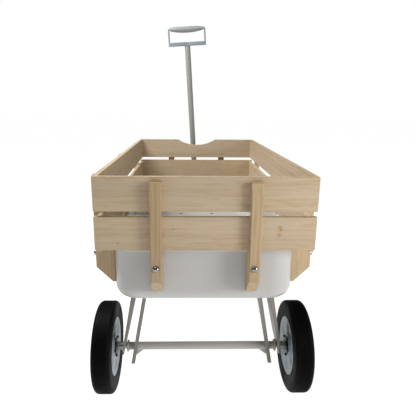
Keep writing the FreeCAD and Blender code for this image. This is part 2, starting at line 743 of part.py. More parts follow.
def make_turntable():
    """Upper pan under the tub, lower plate on the front frame, and the kingpin that joins them."""
    upper = new_body("turntable_upper")
    half = new_sketch(upper, "pan_half", "XZ_Plane")
    skirt = "(pan_flat_radius + pan_skirt)"
    polygon(half, [("kingpin_radius", "tub_base"), ("pan_flat_radius + pan_sheet*0.5", "tub_base"),
                   (f"{skirt} + pan_sheet*0.5", f"{PAN_FACE} + pan_sheet"),
                   ("pan_ring_radius", f"{PAN_FACE} + pan_sheet"),
                   ("pan_ring_radius", PAN_FACE), (f"{skirt} - pan_sheet*0.5", PAN_FACE),
                   ("pan_flat_radius - pan_sheet*0.5", "tub_base - pan_sheet"),
                   ("kingpin_radius", "tub_base - pan_sheet")])
    revolve(upper, half)
    floor_bolt_holes(upper, "pan", "tub_base")
    place(upper, "0", "wheelbase_half")
    parts.append(upper)

    lower = new_body("turntable_lower")
    disc = new_sketch(lower, "lower_plate", "XY_Plane", FRONT_FRAME_TOP)
    circle(disc, "pan_ring_radius")
    circle(disc, "kingpin_radius + running_gap")
    pad(lower, disc, "lower_sheet")
    place(lower, "0", "wheelbase_half")
    parts.append(lower)

    kingpin = new_body("kingpin")
    turned = new_sketch(kingpin, "kingpin_half", "XZ_Plane")
    under = f"({FRONT_FRAME_TOP} - frame_sheet - side_gap)"
    polygon(turned, [("0", "tub_base"), ("kingpin_radius", "tub_base"),
                     ("kingpin_radius", "tub_base - pan_sheet"),
                     ("kingpin_shoulder", "tub_base - pan_sheet"), ("kingpin_shoulder", PAN_FACE),
                     ("kingpin_radius", PAN_FACE), ("kingpin_radius", under),
                     ("kingpin_shoulder", under), ("kingpin_shoulder", f"{under} - 3"),
                     ("kingpin_radius*1.4", f"{under} - 3"), ("kingpin_radius*1.4", f"{under} - 10"),
                     ("kingpin_radius*0.8", f"{under} - 12"), ("0", f"{under} - 12")])
    revolve(kingpin, turned)
    place(kingpin, "0", "wheelbase_half")
    parts.append(kingpin)


def make_drawbar():
    """The channel-section drawbar from the front axle tube out to the handle's pivot."""
    body = new_body("drawbar")
    rise = math.atan2(size("pivot_z") - size("wheel_radius"), size("pivot_y") - size("wheelbase_half"))
    steepness = "((pivot_z - wheel_radius)/(pivot_y - wheelbase_half))"
    square = f"sqrt(1 + {steepness}^2)"
    span = "(pivot_y - wheelbase_half)"

    def cheek_outline(sketch):
        """Straight sides between the rounded heel on the axle tube and the rounded nose at the pivot."""
        corners = []
        ends = (("bar_heel", "0", "wheel_radius", 90), ("bar_nose", span, "pivot_z", -90))
        for radius, y, z, start in ends:
            for step in range(9):
                turned = f"{math.degrees(rise) + start + 22.5*step:.3f} deg"
                corners.append((f"{y} + {radius}*cos({turned})", f"{z} + {radius}*sin({turned})"))
        polygon(sketch, corners)

    for name, level in (("left", "-bar_half"), ("right", "bar_half - bar_sheet")):
        cheek = new_sketch(body, f"drawbar_{name}", "YZ_Plane", level)
        cheek_outline(cheek)
        pad(body, cheek, "bar_sheet")
    floor = new_sketch(body, "drawbar_floor", "YZ_Plane", "-bar_half + bar_sheet*0.5")
    near, far = "bar_heel*1.6", f"{span} - bar_nose*2"
    drop = f"bar_nose*{square}"
    polygon(floor, [(near, f"wheel_radius + {steepness}*({near}) - {drop}"),
                    (far, f"wheel_radius + {steepness}*({far}) - {drop}"),
                    (far, f"wheel_radius + {steepness}*({far}) - {drop} + bar_sheet*{square}"),
                    (near, f"wheel_radius + {steepness}*({near}) - {drop} + bar_sheet*{square}")])
    pad(body, floor, "bar_half*2 - bar_sheet")
    for name, radius, y, z in (("tube", "tube_radius", "0", "wheel_radius"),
                               ("pivot", "pivot_radius", span, "pivot_z")):
        bore = new_sketch(body, f"drawbar_{name}_bore", "YZ_Plane")
        circle(bore, radius, y, z)
        pocket(body, bore)
    place(body, "0", "wheelbase_half")
    parts.append(body)

    bolt = new_body("pivot_bolt")
    half = new_sketch(bolt, "pivot_bolt_half", "XY_Plane")
    left = "(bar_half + side_gap + yoke_sheet + side_gap)"
    right = "(bar_half + 2*yoke_play + yoke_sheet + nut_thickness)"
    polygon(half, [(f"-{left} - 6", "0"), (f"-{left} - 6", "pivot_radius*1.2"),
                   (f"-{left} - 4", "pivot_radius*1.8"), (f"-{left}", "pivot_radius*1.8"),
                   (f"-{left}", "pivot_radius"), (right, "pivot_radius"), (right, "0")])
    revolve(bolt, half, "H_Axis")
    place(bolt, "0", "pivot_y", "pivot_z")
    parts.append(bolt)

    nut = make_nut("pivot_hex", "pivot_radius*1.7", "nut_thickness - 1", "pivot_radius")
    seat = size("bar_half") + 2*size("yoke_play") + size("yoke_sheet") + size("side_gap")
    parts.append(group("pivot_nut", [
        (nut, at(seat, size("pivot_y"), size("pivot_z"), Rotation(Y_AXIS, 90)))]))


# ---------------------------------------------------------------- handle

def handle_places():
    """The yoke's frame at the pivot, and the shaft's frame at the yoke's crown."""
    sideways = size("yoke_play") - size("side_gap")
    yoke = at(sideways, size("pivot_y"), size("pivot_z"), Rotation(X_AXIS, size("lean_back")))
    crown = Placement(Vector(0, 0, size("yoke_height")), Rotation(Y_AXIS, -size("lean_left")))
    shaft = yoke.multiply(crown)
    top = shaft.multiply(Placement(Vector(0, 0, size("shaft_length")), Rotation()))
    return yoke, shaft, top


def make_handle():
    yoke_place, shaft_place, top_place = handle_places()

    yoke = new_body("handle_yoke")
    inner, outer = "(bar_half + yoke_play)", "(bar_half + yoke_play + yoke_sheet)"
    hoop = new_sketch(yoke, "yoke_hoop", "XZ_Plane")
    below = "-yoke_half_depth"
    crown = "yoke_height - yoke_sheet"
    polygon(hoop, [(f"-{outer}", below), (f"-{outer}", "yoke_height"), (outer, "yoke_height"), (outer, below),
                   (inner, below), (inner, crown), (f"-{inner}", crown), (f"-{inner}", below)])
    pad(yoke, hoop, "yoke_half_depth*2", both=True)
    fillet(yoke, "yoke_half_depth*0.98",
           lambda edge: along(X_AXIS)(edge) and edge.BoundBox.ZMax < -size("yoke_half_depth") + 0.01)
    fillet(yoke, "yoke_sheet*2",
           lambda edge: along(Y_AXIS)(edge) and edge.BoundBox.ZMax > size("yoke_height") - 0.01)
    web = new_sketch(yoke, "yoke_web", "XZ_Plane", "yoke_half_depth - yoke_sheet")
    polygon(web, [(f"-{inner} - 1", "yoke_web_low"), (f"{inner} + 1", "yoke_web_low"),
                  (f"{inner} + 1", "yoke_height - 1"), (f"-{inner} - 1", "yoke_height - 1")])
    pad(yoke, web, "yoke_sheet")
    eye = new_sketch(yoke, "yoke_eye", "YZ_Plane")
    circle(eye, "pivot_radius + running_gap")
    pocket(yoke, eye)
    yoke.Placement = yoke_place
    parts.append(yoke)

    shaft = new_body("handle_shaft")
    ring = new_sketch(shaft, "shaft_ring", "XY_Plane", "1.5")
    circle(ring, "shaft_radius")
    circle(ring, "shaft_radius - shaft_wall")
    pad(shaft, ring, "shaft_length - 1.5")
    rivet_holes = new_sketch(shaft, "shaft_rivet_hole", "XZ_Plane")
    circle(rivet_holes, "rivet_radius", "0", "socket_length*0.6")
    pocket(shaft, rivet_holes)
    shaft.Placement = shaft_place
    parts.append(shaft)

    socket = new_body("handle_socket")
    cup = new_sketch(socket, "socket_ring", "XY_Plane", "1.5")
    circle(cup, "socket_radius")
    circle(cup, "shaft_radius")
    pad(socket, cup, "socket_length")
    socket_hole = new_sketch(socket, "socket_rivet_hole", "XZ_Plane")
    circle(socket_hole, "rivet_radius", "0", "socket_length*0.6")
    pocket(socket, socket_hole)
    socket.Placement = shaft_place
    parts.append(socket)

    rivet = new_body("handle_rivet")
    half = new_sketch(rivet, "rivet_half", "XY_Plane")
    tip = "(socket_radius + rivet_head_height)"
    polygon(half, [("0", tip), ("rivet_head_radius*0.7", tip), ("rivet_head_radius", "socket_radius"),
                   ("rivet_radius", "socket_radius"), ("rivet_radius", "-socket_radius"),
                   ("rivet_head_radius", "-socket_radius"), ("rivet_head_radius*0.7", f"-{tip}"),
                   ("0", f"-{tip}")])
    revolve(rivet, half)
    rivet.Placement = shaft_place.multiply(Placement(Vector(0, 0, size("socket_length")*0.6), Rotation()))
    parts.append(rivet)

    frame = new_body("handle_frame")
    loop = new_sketch(frame, "frame_loop", "XZ_Plane")
    high = "(grip_height - grip_radius)"
    strap_in, strap_top = "(grip_half_width - grip_strap)", f"({high} + grip_end_radius)"
    polygon(loop, [("-grip_half_width", "0"), ("grip_half_width", "0"), ("grip_half_width", strap_top),
                   (strap_in, strap_top), (strap_in, "grip_bar_height"), (f"-{strap_in}", "grip_bar_height"),
                   (f"-{strap_in}", strap_top), ("-grip_half_width", strap_top)])
    pad(frame, loop, "grip_strap_half*2", both=True)
    half_width, top_z = size("grip_half_width"), frame.Shape.BoundBox.ZMax
    fillet(frame, "grip_strap*0.9", lambda edge: (along(Y_AXIS)(edge) and edge.BoundBox.ZMax > top_z - 0.01
                                                  and abs(edge.BoundBox.XMax) > half_width - 0.01))
    rod = new_sketch(frame, "frame_rod", "YZ_Plane")
    circle(rod, "grip_rod_radius", "0", high)
    pad(frame, rod, f"2*{strap_in} + 2", both=True)
    bar = new_sketch(frame, "frame_bar", "XZ_Plane")
    bar_end, bar_top = "(grip_half_width - 1)", "grip_bar_height - 0.5"
    polygon(bar, [(f"-{bar_end}", "0.5"), (bar_end, "0.5"), (bar_end, bar_top), (f"-{bar_end}", bar_top)])
    pad(frame, bar, "grip_bar_half*2", both=True)
    frame.Placement = top_place
    parts.append(frame)

    grip = new_body("handle_grip")
    barrel = new_sketch(grip, "grip_half", "XY_Plane")
    end = "(grip_half_width - grip_strap - 0.2)"
    polygon(barrel, [(f"-{end}", "grip_rod_radius"), (f"-{end}", "grip_end_radius"),
                     (f"-{end}*0.72", "grip_radius*0.93"), (f"-{end}*0.35", "grip_radius"),
                     (f"{end}*0.35", "grip_radius"), (f"{end}*0.72", "grip_radius*0.93"),
                     (end, "grip_end_radius"), (end, "grip_rod_radius")])
    revolve(grip, barrel, "H_Axis")
    grip.Placement = top_place.multiply(Placement(Vector(0, 0, size("grip_height") - size("grip_radius")),
                                                  Rotation()))
    parts.append(grip)


# ---------------------------------------------------------------- wheels

def mirrored(points):
    """A half profile's points on the wheel's other side, so that the two lists join up."""
    return [(f"-({across})", radius) for across, radius in reversed(points)]


def make_wheel(name, x, y):
    """Tyre, two-sided steel rim and the pair of bearings, turned about the axle line."""
    outward = "1" if x[0] != "-" else "-1"
    tyre = new_body(f"{name}_tyre")
    half = new_sketch(tyre, f"{name}_tyre_half", "XY_Plane")
    wide = "tyre_width/2"
    inner = "(wheel_radius - tyre_wall)"
    side = [("disc_half + 1 - rim_sheet", "rim_radius"), ("disc_half + 2 - rim_sheet", "rim_radius + 2"),
            (f"{wide}*0.94", "rim_radius + 9"), (wide, "wheel_radius - 24"),
            (f"{wide}*0.96", "wheel_radius - 12"), (f"{wide}*0.8", "wheel_radius - 4"),
            (f"{wide}*0.55", "wheel_radius")]
    hollow = [(f"{wide}*0.5", inner), (f"{wide} - tyre_wall", "wheel_radius - 18"),
              (f"{wide} - tyre_wall", "rim_radius + 12"),
              ("disc_half - rim_sheet - tyre_wall*0.6", "rim_radius")]
    polygon(half, side + mirrored(side) + mirrored(hollow) + hollow)
    revolve(tyre, half, "H_Axis")
    place(tyre, x, y, "wheel_radius")
    parts.append(tyre)

    rim = new_body(f"{name}_rim")
    shape = new_sketch(rim, f"{name}_rim_half", "XY_Plane")
    skin = "rim_sheet"
    half_profile = [("hub_half", "bearing_radius"), ("hub_half", "hub_radius"),
                    ("disc_half + 1.5", "hub_radius + 3"), ("disc_half - 1", "hub_radius + 9"),
                    ("disc_half - 3", "rim_radius*0.55"), ("disc_half", "rim_radius*0.78"),
                    ("disc_half + 2", "rim_radius + 2"), (f"disc_half + 2 - {skin}", "rim_radius + 2"),
                    (f"disc_half + 1 - {skin}", "rim_radius")]
    polygon(shape, half_profile + mirrored(half_profile))
    cavity = [("disc_half - 3 - rim_sheet*0.6", "hub_radius + 2"),
              ("disc_half - 3.5 - rim_sheet", "rim_radius*0.55"),
              ("disc_half - 1 - rim_sheet", "rim_radius*0.78"),
              ("disc_half - 0.5 - rim_sheet", "rim_radius - rim_sheet")]
    polygon(shape, cavity + mirrored(cavity))
    revolve(rim, shape, "H_Axis")
    valve = new_sketch(rim, f"{name}_valve", "YZ_Plane")
    circle(valve, "valve_hole_radius", "0", "rim_radius*0.68")
    pocket(rim, valve, "disc_half*2", back=outward == "1")
    place(rim, x, y, "wheel_radius")
    parts.append(rim)

    bearing = doc.addObject("PartDesign::Body", f"{name}_bearing")
    ring = new_sketch(bearing, f"{name}_bearing_face", "YZ_Plane")
    circle(ring, "bearing_radius")
    circle(ring, "rod_radius + running_gap")
    pad(bearing, ring, "bearing_width")
    middle = size("track_half")*float(outward)
    along_y = size("wheelbase_half")*(-1 if y[0] == "-" else 1)
    inset = size("hub_half") - size("bearing_width")
    parts.append(group(f"{name}_bearings", [
        (bearing, at(middle + inset, along_y, size("wheel_radius"))),
        (bearing, at(middle - inset, along_y, size("wheel_radius"), Rotation(Z_AXIS, 180)))]))


def make_all():
    make_tub()
    make_boards()
    make_stakes()
    make_stake_fasteners()
    make_floor_fasteners()
    make_frame("rear_frame", "tub_base", "-wheelbase_half", "0", padded=True)
    make_frame("front_frame", FRONT_FRAME_TOP, "wheelbase_half", "180", padded=False)
    make_braces("rear_braces", "(tub_base - frame_sheet)", "-wheelbase_half", "0")
    make_braces("front_braces", f"({FRONT_FRAME_TOP} - frame_sheet)", "wheelbase_half", "180")
    make_axle("rear", "-wheelbase_half", "0")
    make_axle("front", "wheelbase_half", "180")
    make_turntable()
    make_drawbar()
    make_handle()
    for end, y in (("rear", "-wheelbase_half"), ("front", "wheelbase_half")):
        for hand, x in (("left", "-track_half"), ("right", "track_half")):
            make_wheel(f"{end}_wheel_{hand}", x, y)


def check_and_write():
    doc.recompute()
    broken = [item.Label for item in doc.Objects if {"Invalid", "Error"} & set(item.State)]
    broken += [part.Label for part in parts if part.Shape.isNull() or not part.Shape.isValid()]
    if broken:
        raise RuntimeError(f"failed objects: {', '.join(broken)}")
    os.makedirs("parts", exist_ok=True)
    for part in parts:
        part.Shape.exportStep(os.path.join("parts", f"{part.Label}.step"))
    print(f"{len(parts)} sub-parts written")


make_all()
check_and_write()
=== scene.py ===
"""Looks for the slatted pull wagon.

Materials for the CAD pieces, and finer pieces for wheels, fasteners, welds and grip.
"""
import json
import math
import random

import bmesh
import bpy
from mathutils import Matrix, Vector


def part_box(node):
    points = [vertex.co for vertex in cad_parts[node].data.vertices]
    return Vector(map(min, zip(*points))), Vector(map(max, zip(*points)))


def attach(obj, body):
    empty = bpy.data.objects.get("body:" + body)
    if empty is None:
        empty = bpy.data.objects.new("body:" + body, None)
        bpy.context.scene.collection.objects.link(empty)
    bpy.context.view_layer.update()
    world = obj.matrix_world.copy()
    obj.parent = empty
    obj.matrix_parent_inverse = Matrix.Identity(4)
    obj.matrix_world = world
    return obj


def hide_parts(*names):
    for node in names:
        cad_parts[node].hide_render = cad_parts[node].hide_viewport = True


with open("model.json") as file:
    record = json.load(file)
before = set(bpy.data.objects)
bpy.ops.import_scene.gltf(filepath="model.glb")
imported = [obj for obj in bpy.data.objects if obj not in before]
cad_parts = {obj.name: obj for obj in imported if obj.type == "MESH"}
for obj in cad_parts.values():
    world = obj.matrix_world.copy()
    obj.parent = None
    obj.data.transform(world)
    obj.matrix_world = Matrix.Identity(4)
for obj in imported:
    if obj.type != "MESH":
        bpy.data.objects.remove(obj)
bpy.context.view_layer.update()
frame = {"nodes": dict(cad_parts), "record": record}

NODES = frame["nodes"]
MM = 0.001
TAU = 2*math.pi
X, Y, Z = Vector((1, 0, 0)), Vector((0, 1, 0)), Vector((0, 0, 1))
rng = random.Random(7)


# ---------------------------------------------------------------- node helpers

class Shader:
    """A new node material with short calls for adding and joining nodes."""

    def __init__(self, name):
        self.material = bpy.data.materials.new(name)
        self.material.use_nodes = True
        self.tree = self.material.node_tree
        self.tree.nodes.clear()
        self.bsdf = self.add("ShaderNodeBsdfPrincipled")
        output = self.add("ShaderNodeOutputMaterial")
        self.join(self.bsdf.outputs["BSDF"], output.inputs["Surface"])

    def add(self, kind, **settings):
        node = self.tree.nodes.new(kind)
        for key, value in settings.items():
            setattr(node, key, value)
        return node

    def join(self, source, target):
        self.tree.links.new(source, target)

    def put(self, socket, value):
        """Give a socket a value, or another node's output."""
        if isinstance(value, bpy.types.NodeSocket):
            self.join(value, socket)
        else:
            socket.default_value = value

    def set(self, **values):
        """Constant values on the shader's own sockets."""
        for key, value in values.items():
            self.bsdf.inputs[key.replace("_", " ")].default_value = value

    def math(self, operation, first, second=0.0, clamp=False):
        node = self.add("ShaderNodeMath", operation=operation, use_clamp=clamp)
        self.put(node.inputs[0], first)
        self.put(node.inputs[1], second)
        return node.outputs[0]

    def place(self):
        """The surface point in the wagon's frame, in metres."""
        return self.add("ShaderNodeTexCoord").outputs["Object"]

    def scaled(self, vector, scale, shift=(0, 0, 0)):
        node = self.add("ShaderNodeMapping")
        self.join(vector, node.inputs["Vector"])
        node.inputs["Scale"].default_value = scale
        node.inputs["Location"].default_value = shift
        return node.outputs[0]

    def noise(self, vector, scale, detail=2.0, rough=0.5, warp=0.0):
        node = self.add("ShaderNodeTexNoise")
        self.join(vector, node.inputs["Vector"])
        node.inputs["Scale"].default_value = scale
        node.inputs["Detail"].default_value = detail
        node.inputs["Roughness"].default_value = rough
        node.inputs["Distortion"].default_value = warp
        return node.outputs["Fac"]

    def band(self, value, low, high, to_low=0.0, to_high=1.0):
        node = self.add("ShaderNodeMapRange", interpolation_type="SMOOTHSTEP")
        self.put(node.inputs["Value"], value)
        for key, number in (("From Min", low), ("From Max", high), ("To Min", to_low), ("To Max", to_high)):
            node.inputs[key].default_value = number
        return node.outputs["Result"]

    def mix(self, amount, first, second, blend="MIX"):
        node = self.add("ShaderNodeMix", data_type="RGBA", blend_type=blend)
        self.put(node.inputs["Factor"], amount)
        for socket, colour in ((node.inputs[6], first), (node.inputs[7], second)):
            self.put(socket, colour if isinstance(colour, bpy.types.NodeSocket) else (*colour, 1))
        return node.outputs[2]

    def bump(self, height, distance, strength=1.0):
        node = self.add("ShaderNodeBump")
        self.join(height, node.inputs["Height"])
        node.inputs["Distance"].default_value = distance
        node.inputs["Strength"].default_value = strength
        previous = self.bsdf.inputs["Normal"]
        if previous.links:
            self.join(previous.links[0].from_socket, node.inputs["Normal"])
        self.join(node.outputs["Normal"], previous)

    def colour(self, socket):
        self.join(socket, self.bsdf.inputs["Base Color"])

    def roughness(self, socket):
        self.join(socket, self.bsdf.inputs["Roughness"])


# ---------------------------------------------------------------- materials

def shaded(colour, *factors):
    """A colour with each channel multiplied by its own factor."""
    return tuple(channel*factor for channel, factor in zip(colour, factors))


def darkened_box_edges(s, node, where):
    """One near the edges of a node's box, where two of its faces meet, and zero away from them."""
    low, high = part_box(node)
    parts = s.add("ShaderNodeSeparateXYZ")
    s.join(where, parts.inputs[0])
    reach = s.band(s.noise(where, 75.0, 3, 0.6), 0.3, 0.75, 0.6*MM, 2.4*MM)
    near = []
    for k in range(3):
        half, middle = (high[k] - low[k])/2, (high[k] + low[k])/2
        depth = s.math("SUBTRACT", half, s.math("ABSOLUTE", s.math("SUBTRACT", parts.outputs[k], middle)))
        near.append(s.math("SUBTRACT", 1.0, s.math("DIVIDE", depth, reach), clamp=True))
    pairs = [s.math("MULTIPLY", near[a], near[b]) for a, b in ((0, 1), (0, 2), (1, 2))]
    return s.math("MAXIMUM", pairs[0], s.math("MAXIMUM", pairs[1], pairs[2]))


def along_grain(s, where, grain):
    """The place turned so that its first axis runs along grain, and the number of that axis."""
    order = {"X": (0, 2, 1), "Y": (1, 2, 0), "Z": (2, 0, 1)}[grain]
    parts = s.add("ShaderNodeSeparateXYZ")
    s.join(where, parts.inputs[0])
    turned = s.add("ShaderNodeCombineXYZ")
    for target, source in enumerate(order):
        s.join(parts.outputs[source], turned.inputs[target])
    return turned.outputs[0], order[0]


def growth_rings(s, local, shift, seed, ring):
    """One on the dark late wood of each growth ring about a pith beside the board, zero between."""
    waver = s.noise(s.scaled(local, (1.6, 7, 7), shift), 1.0, 3, 0.55)
    waver = s.math("MULTIPLY", s.math("SUBTRACT", waver, 0.5), 0.030)
    split = s.add("ShaderNodeSeparateXYZ")
    s.join(local, split.inputs[0])
    pith_out, pith_up = 0.05 + 0.03*(seed % 3), 0.09*math.sin(seed*1.9)
    across = s.math("ADD", s.math("ADD", split.outputs[1], waver), -0.56 + pith_up)
    depth = s.math("ADD", split.outputs[2], pith_out)
    span = s.math("SQRT", s.math("ADD", s.math("MULTIPLY", across, across), s.math("MULTIPLY", depth, depth)))
    wave = s.math("FRACT", s.math("DIVIDE", span, ring))
    return s.math("MULTIPLY", s.band(wave, 0.35, 0.93), s.band(wave, 0.93, 1.0, 1.0, 0.0))


def add_knot(s, colour, where, centre, size):
    """A small knot with a darker core and a brown halo, long through the board and a little along it."""
    offset = s.add("ShaderNodeVectorMath", operation="SUBTRACT")
    s.join(where, offset.inputs[0])
    offset.inputs[1].default_value = centre
    flat = s.add("ShaderNodeVectorMath", operation="MULTIPLY")
    s.join(offset.outputs[0], flat.inputs[0])
    flat.inputs[1].default_value = (0.8, 0.2, 1.0)
    length = s.add("ShaderNodeVectorMath", operation="LENGTH")
    s.join(flat.outputs[0], length.inputs[0])
    wobble = s.math("MULTIPLY", s.math("SUBTRACT", s.noise(where, 160, 2), 0.5), size*0.9)
    gap = s.math("ADD", length.outputs["Value"], wobble)
    halo = s.band(gap, size*0.6, size*2.2, 1.0, 0.0)
    core = s.band(gap, size*0.35, size*0.8, 1.0, 0.0)
    colour = s.mix(s.math("MULTIPLY", halo, 0.45), colour, (0.46, 0.27, 0.10))
    return s.mix(s.math("MULTIPLY", core, 0.55), colour, (0.30, 0.15, 0.05))


def wood(name, node, grain, seed, light, dark, ring=0.0065, knots=()):
    """Planed softwood with growth rings and with fibres along grain ("X", "Y" or "Z").

    The edges are darkened, and a few faint stains are left on the faces.
    """
    s = Shader(name)
    where = s.place()
    local, grain_axis = along_grain(s, where, grain)
    shift = (seed*1.37 % 5, seed*0.71 % 3, seed*2.13 % 4)
    late = growth_rings(s, local, shift, seed, ring)

    fibres = s.noise(s.scaled(local, (9, 620, 620), shift), 1.0, 3, 0.6)
    streaks = s.noise(s.scaled(local, (2.2, 85, 85), shift), 1.0, 2, 0.5)
    blotch = s.noise(s.scaled(local, (4, 13, 13), shift), 1.0, 2, 0.5)
    dashes = s.noise(s.scaled(local, (16, 210, 210), shift), 1.0, 3, 0.6, 0.4)
    tone = s.math("MULTIPLY", late, s.band(blotch, 0.3, 0.75, 0.10, 0.36))
    tone = s.math("ADD", tone, s.math("MULTIPLY", s.band(streaks, 0.35, 0.75), 0.30))
    tone = s.math("ADD", tone, s.math("MULTIPLY", s.band(dashes, 0.45, 0.72), 0.34))
    tone = s.math("ADD", tone, s.math("MULTIPLY", s.band(fibres, 0.45, 0.8), 0.16), clamp=True)
    colour = s.mix(tone, light, dark)

    warm = s.band(s.noise(s.scaled(local, (1.1, 5, 5), (shift[2], 3.1, shift[0])), 1.0, 1), 0.35, 0.7)
    colour = s.mix(s.math("MULTIPLY", warm, 0.35), colour, shaded(dark, 1.12, 1.02, 0.86))
    stain = s.noise(s.scaled(local, (9, 24, 24), (shift[1], shift[2], shift[0])), 1.0, 4, 0.62, 0.6)
    colour = s.mix(s.band(stain, 0.56, 0.78, 0.0, 0.42), colour, shaded(dark, 0.86, 0.74, 0.58))
    grey = s.noise(s.scaled(local, (3, 11, 11), (shift[0], shift[2], shift[1])), 1.0, 3, 0.6)
    pale = sum(light)/3
    colour = s.mix(s.band(grey, 0.45, 0.75, 0.0, 0.30), colour, (pale*1.06, pale, pale*0.90))
    # Darker along the edges of the piece's box.
    edge_darkening = s.math("MULTIPLY", darkened_box_edges(s, node, where), 0.55)
    colour = s.mix(edge_darkening, colour, shaded(dark, 0.62, 0.52, 0.42))
    for centre, size in knots:
        colour = add_knot(s, colour, where, centre, size)

    normal = s.add("ShaderNodeSeparateXYZ")
    s.join(s.add("ShaderNodeTexCoord").outputs["Normal"], normal.inputs[0])
    end_grain = s.band(s.math("ABSOLUTE", normal.outputs[grain_axis]), 0.75, 0.95, 0.0, 0.45)
    s.colour(s.mix(end_grain, colour, shaded(dark, 0.72, 0.66, 0.58)))
    s.roughness(s.band(fibres, 0.2, 0.8, 0.52, 0.70))
    s.bump(fibres, 0.0004, 0.5)
    s.bump(late, 0.0003, 0.4)
    s.set(Specular_IOR_Level=0.35)
    return s.material


def paint(name, colour, rough, peel=0.00005, grime=0.10, coat=0.0):
    """Powder-coated steel with a faint orange peel, uneven gloss and a little dust."""
    s = Shader(name)
    where = s.place()
    cloud = s.noise(where, 6.0, 4, 0.6)
    spots = s.noise(where, 260.0, 2, 0.5)
    dull = tuple(c*0.82 for c in colour)
    base = s.mix(s.math("MULTIPLY", s.band(cloud, 0.35, 0.75), grime*2), colour, dull)
    base = s.mix(s.math("MULTIPLY", s.band(spots, 0.62, 0.8), grime), base, tuple(c*0.7 for c in colour))
    s.colour(base)
    s.roughness(s.band(cloud, 0.25, 0.8, rough - 0.05, rough + 0.10))
    s.bump(s.noise(where, 500.0, 2, 0.5), peel, 0.3)
    s.set(Coat_Weight=coat, Coat_Roughness=0.25)
    return s.material


def rubber(name):
    """Black moulded rubber, slightly dusty, with a fine moulded texture."""
    s = Shader(name)
    where = s.place()
    dust = s.noise(where, 22.0, 4, 0.65)
    fine = s.noise(where, 900.0, 2, 0.6)
    s.colour(s.mix(s.math("MULTIPLY", s.band(dust, 0.45, 0.8), 0.45), (0.0024, 0.0024, 0.0026),
                   (0.0050, 0.0048, 0.0046)))
    s.roughness(s.band(dust, 0.3, 0.8, 0.52, 0.74))
    s.bump(fine, 0.0001, 0.5)
    s.set(Specular_IOR_Level=0.07)
    return s.material


def metal(name, colour, rough, spread=0.08, grain=350.0, depth=0.00003):
    """Bare or plated metal with a fine uneven polish."""
    s = Shader(name)
    where = s.place()
    cloud = s.noise(where, 45.0, 3, 0.6)
    s.colour(s.mix(s.band(cloud, 0.3, 0.75), colour, tuple(c*0.78 for c in colour)))
    s.roughness(s.band(cloud, 0.3, 0.75, max(rough - spread, 0.03), rough + spread))
    s.bump(s.noise(where, grain, 2, 0.5), depth, 0.5)
    s.set(Metallic=1.0)
    return s.material


def plastic(name, colour, rough):
    """Moulded plastic with a very fine spark-eroded grain."""
    s = Shader(name)
    where = s.place()
    cloud = s.noise(where, 30.0, 3, 0.6)
    s.colour(s.mix(s.math("MULTIPLY", s.band(cloud, 0.35, 0.75), 0.4), colour, tuple(c*0.86 for c in colour)))
    s.roughness(s.band(cloud, 0.3, 0.8, rough - 0.06, rough + 0.08))
    s.bump(s.noise(where, 1100.0, 2, 0.6), 0.00002, 0.3)
    s.set(IOR=1.47)
    return s.material


WOOD_LIGHT = (0.585, 0.458, 0.306)
WOOD_DARK = (0.385, 0.275, 0.160)
STAKE_LIGHT = (0.540, 0.400, 0.240)
STAKE_DARK = (0.360, 0.240, 0.120)

FRAME_PAINT = paint("frame_powder_coat", (0.345, 0.325, 0.294), 0.42, grime=0.05)
# The legs and braces, the axle tubes and collars, and the handle shaft all wear the frame's one paint. The
# next three are copies of it with light and shade painted in: darker for the legs and the shaft (painted
# shade), lighter for the axle tubes (painted light).
SHADED_LEG_PAINT = paint("leg_frame_coat_painted_shade", (0.235, 0.216, 0.188), 0.44, grime=0.07)
LIT_TUBE_PAINT = paint("tube_frame_coat_painted_light", (0.470, 0.450, 0.415), 0.36, grime=0.05)
SHADED_SHAFT_PAINT = paint("shaft_frame_coat_painted_shade", (0.262, 0.252, 0.232), 0.42, grime=0.05)
TUB_PAINT = paint("tub_powder_coat", (0.490, 0.484, 0.462), 0.32, grime=0.04, coat=0.25)
WHEEL_PAINT = paint("wheel_paint", (0.235, 0.285, 0.310), 0.36, grime=0.12)
GRIP_FRAME_PAINT = paint("grip_frame_paint", (0.205, 0.235, 0.258), 0.45, grime=0.10)
GRIP_PLASTIC = plastic("grip_plastic", (0.235, 0.250, 0.250), 0.42)
RUBBER = rubber("tyre_rubber")
# The chrome's base colour is kept dark: a painted reflection of dark surroundings, which the pale studio does
# not have.
CHROME = metal("chrome_plate", (0.36, 0.37, 0.39), 0.10, 0.04)
ZINC = metal("zinc_plate", (0.50, 0.50, 0.48), 0.34, 0.10)
DARK_STEEL = metal("dark_steel", (0.030, 0.030, 0.032), 0.42, 0.10)
DULL_ZINC = metal("dull_screw_zinc", (0.33, 0.29, 0.23), 0.55, 0.08)

SLOT_MATERIAL = {"tub_enamel": TUB_PAINT, "frame_paint": FRAME_PAINT, "wheel_paint": WHEEL_PAINT,
                 "grip_frame": GRIP_FRAME_PAINT, "grip_plastic": GRIP_PLASTIC, "tyre_rubber": RUBBER,
                 "chrome_plate": CHROME, "zinc_plate": ZINC, "dark_steel": DARK_STEEL}
# Pieces that take a painted-shade or painted-light copy of the frame paint in place of their slot's material.
LIT_AND_SHADED_FRAME_PAINT = {node: material for material, nodes in (
    (SHADED_LEG_PAINT, ("rear_frame", "front_frame", "rear_braces", "front_braces")),
    (LIT_TUBE_PAINT, ("rear_axle_tube", "front_axle_tube", "rear_axle_collars", "front_axle_collars")),
    (SHADED_SHAFT_PAINT, ("handle_shaft", "handle_socket", "handle_yoke")),
) for node in nodes}
NODE_SLOT = {row["node"]: row["material_slot"] for row in frame["record"]["subparts"]}
NODE_BODY = {node: body for body, nodes in frame["record"]["behaviour"]["bodies"].items() for node in nodes}
# Knots of the lower rear board: sideways as a share of its half length, upwards of its height, and the size.
KNOTS = ((0.668, 0.70, 3.4*MM), (0.676, 0.62, 3.4*MM), (0.664, 0.46, 3.8*MM), (-0.79, 0.22, 2.0*MM),
         (-0.29, 0.64, 1.8*MM))


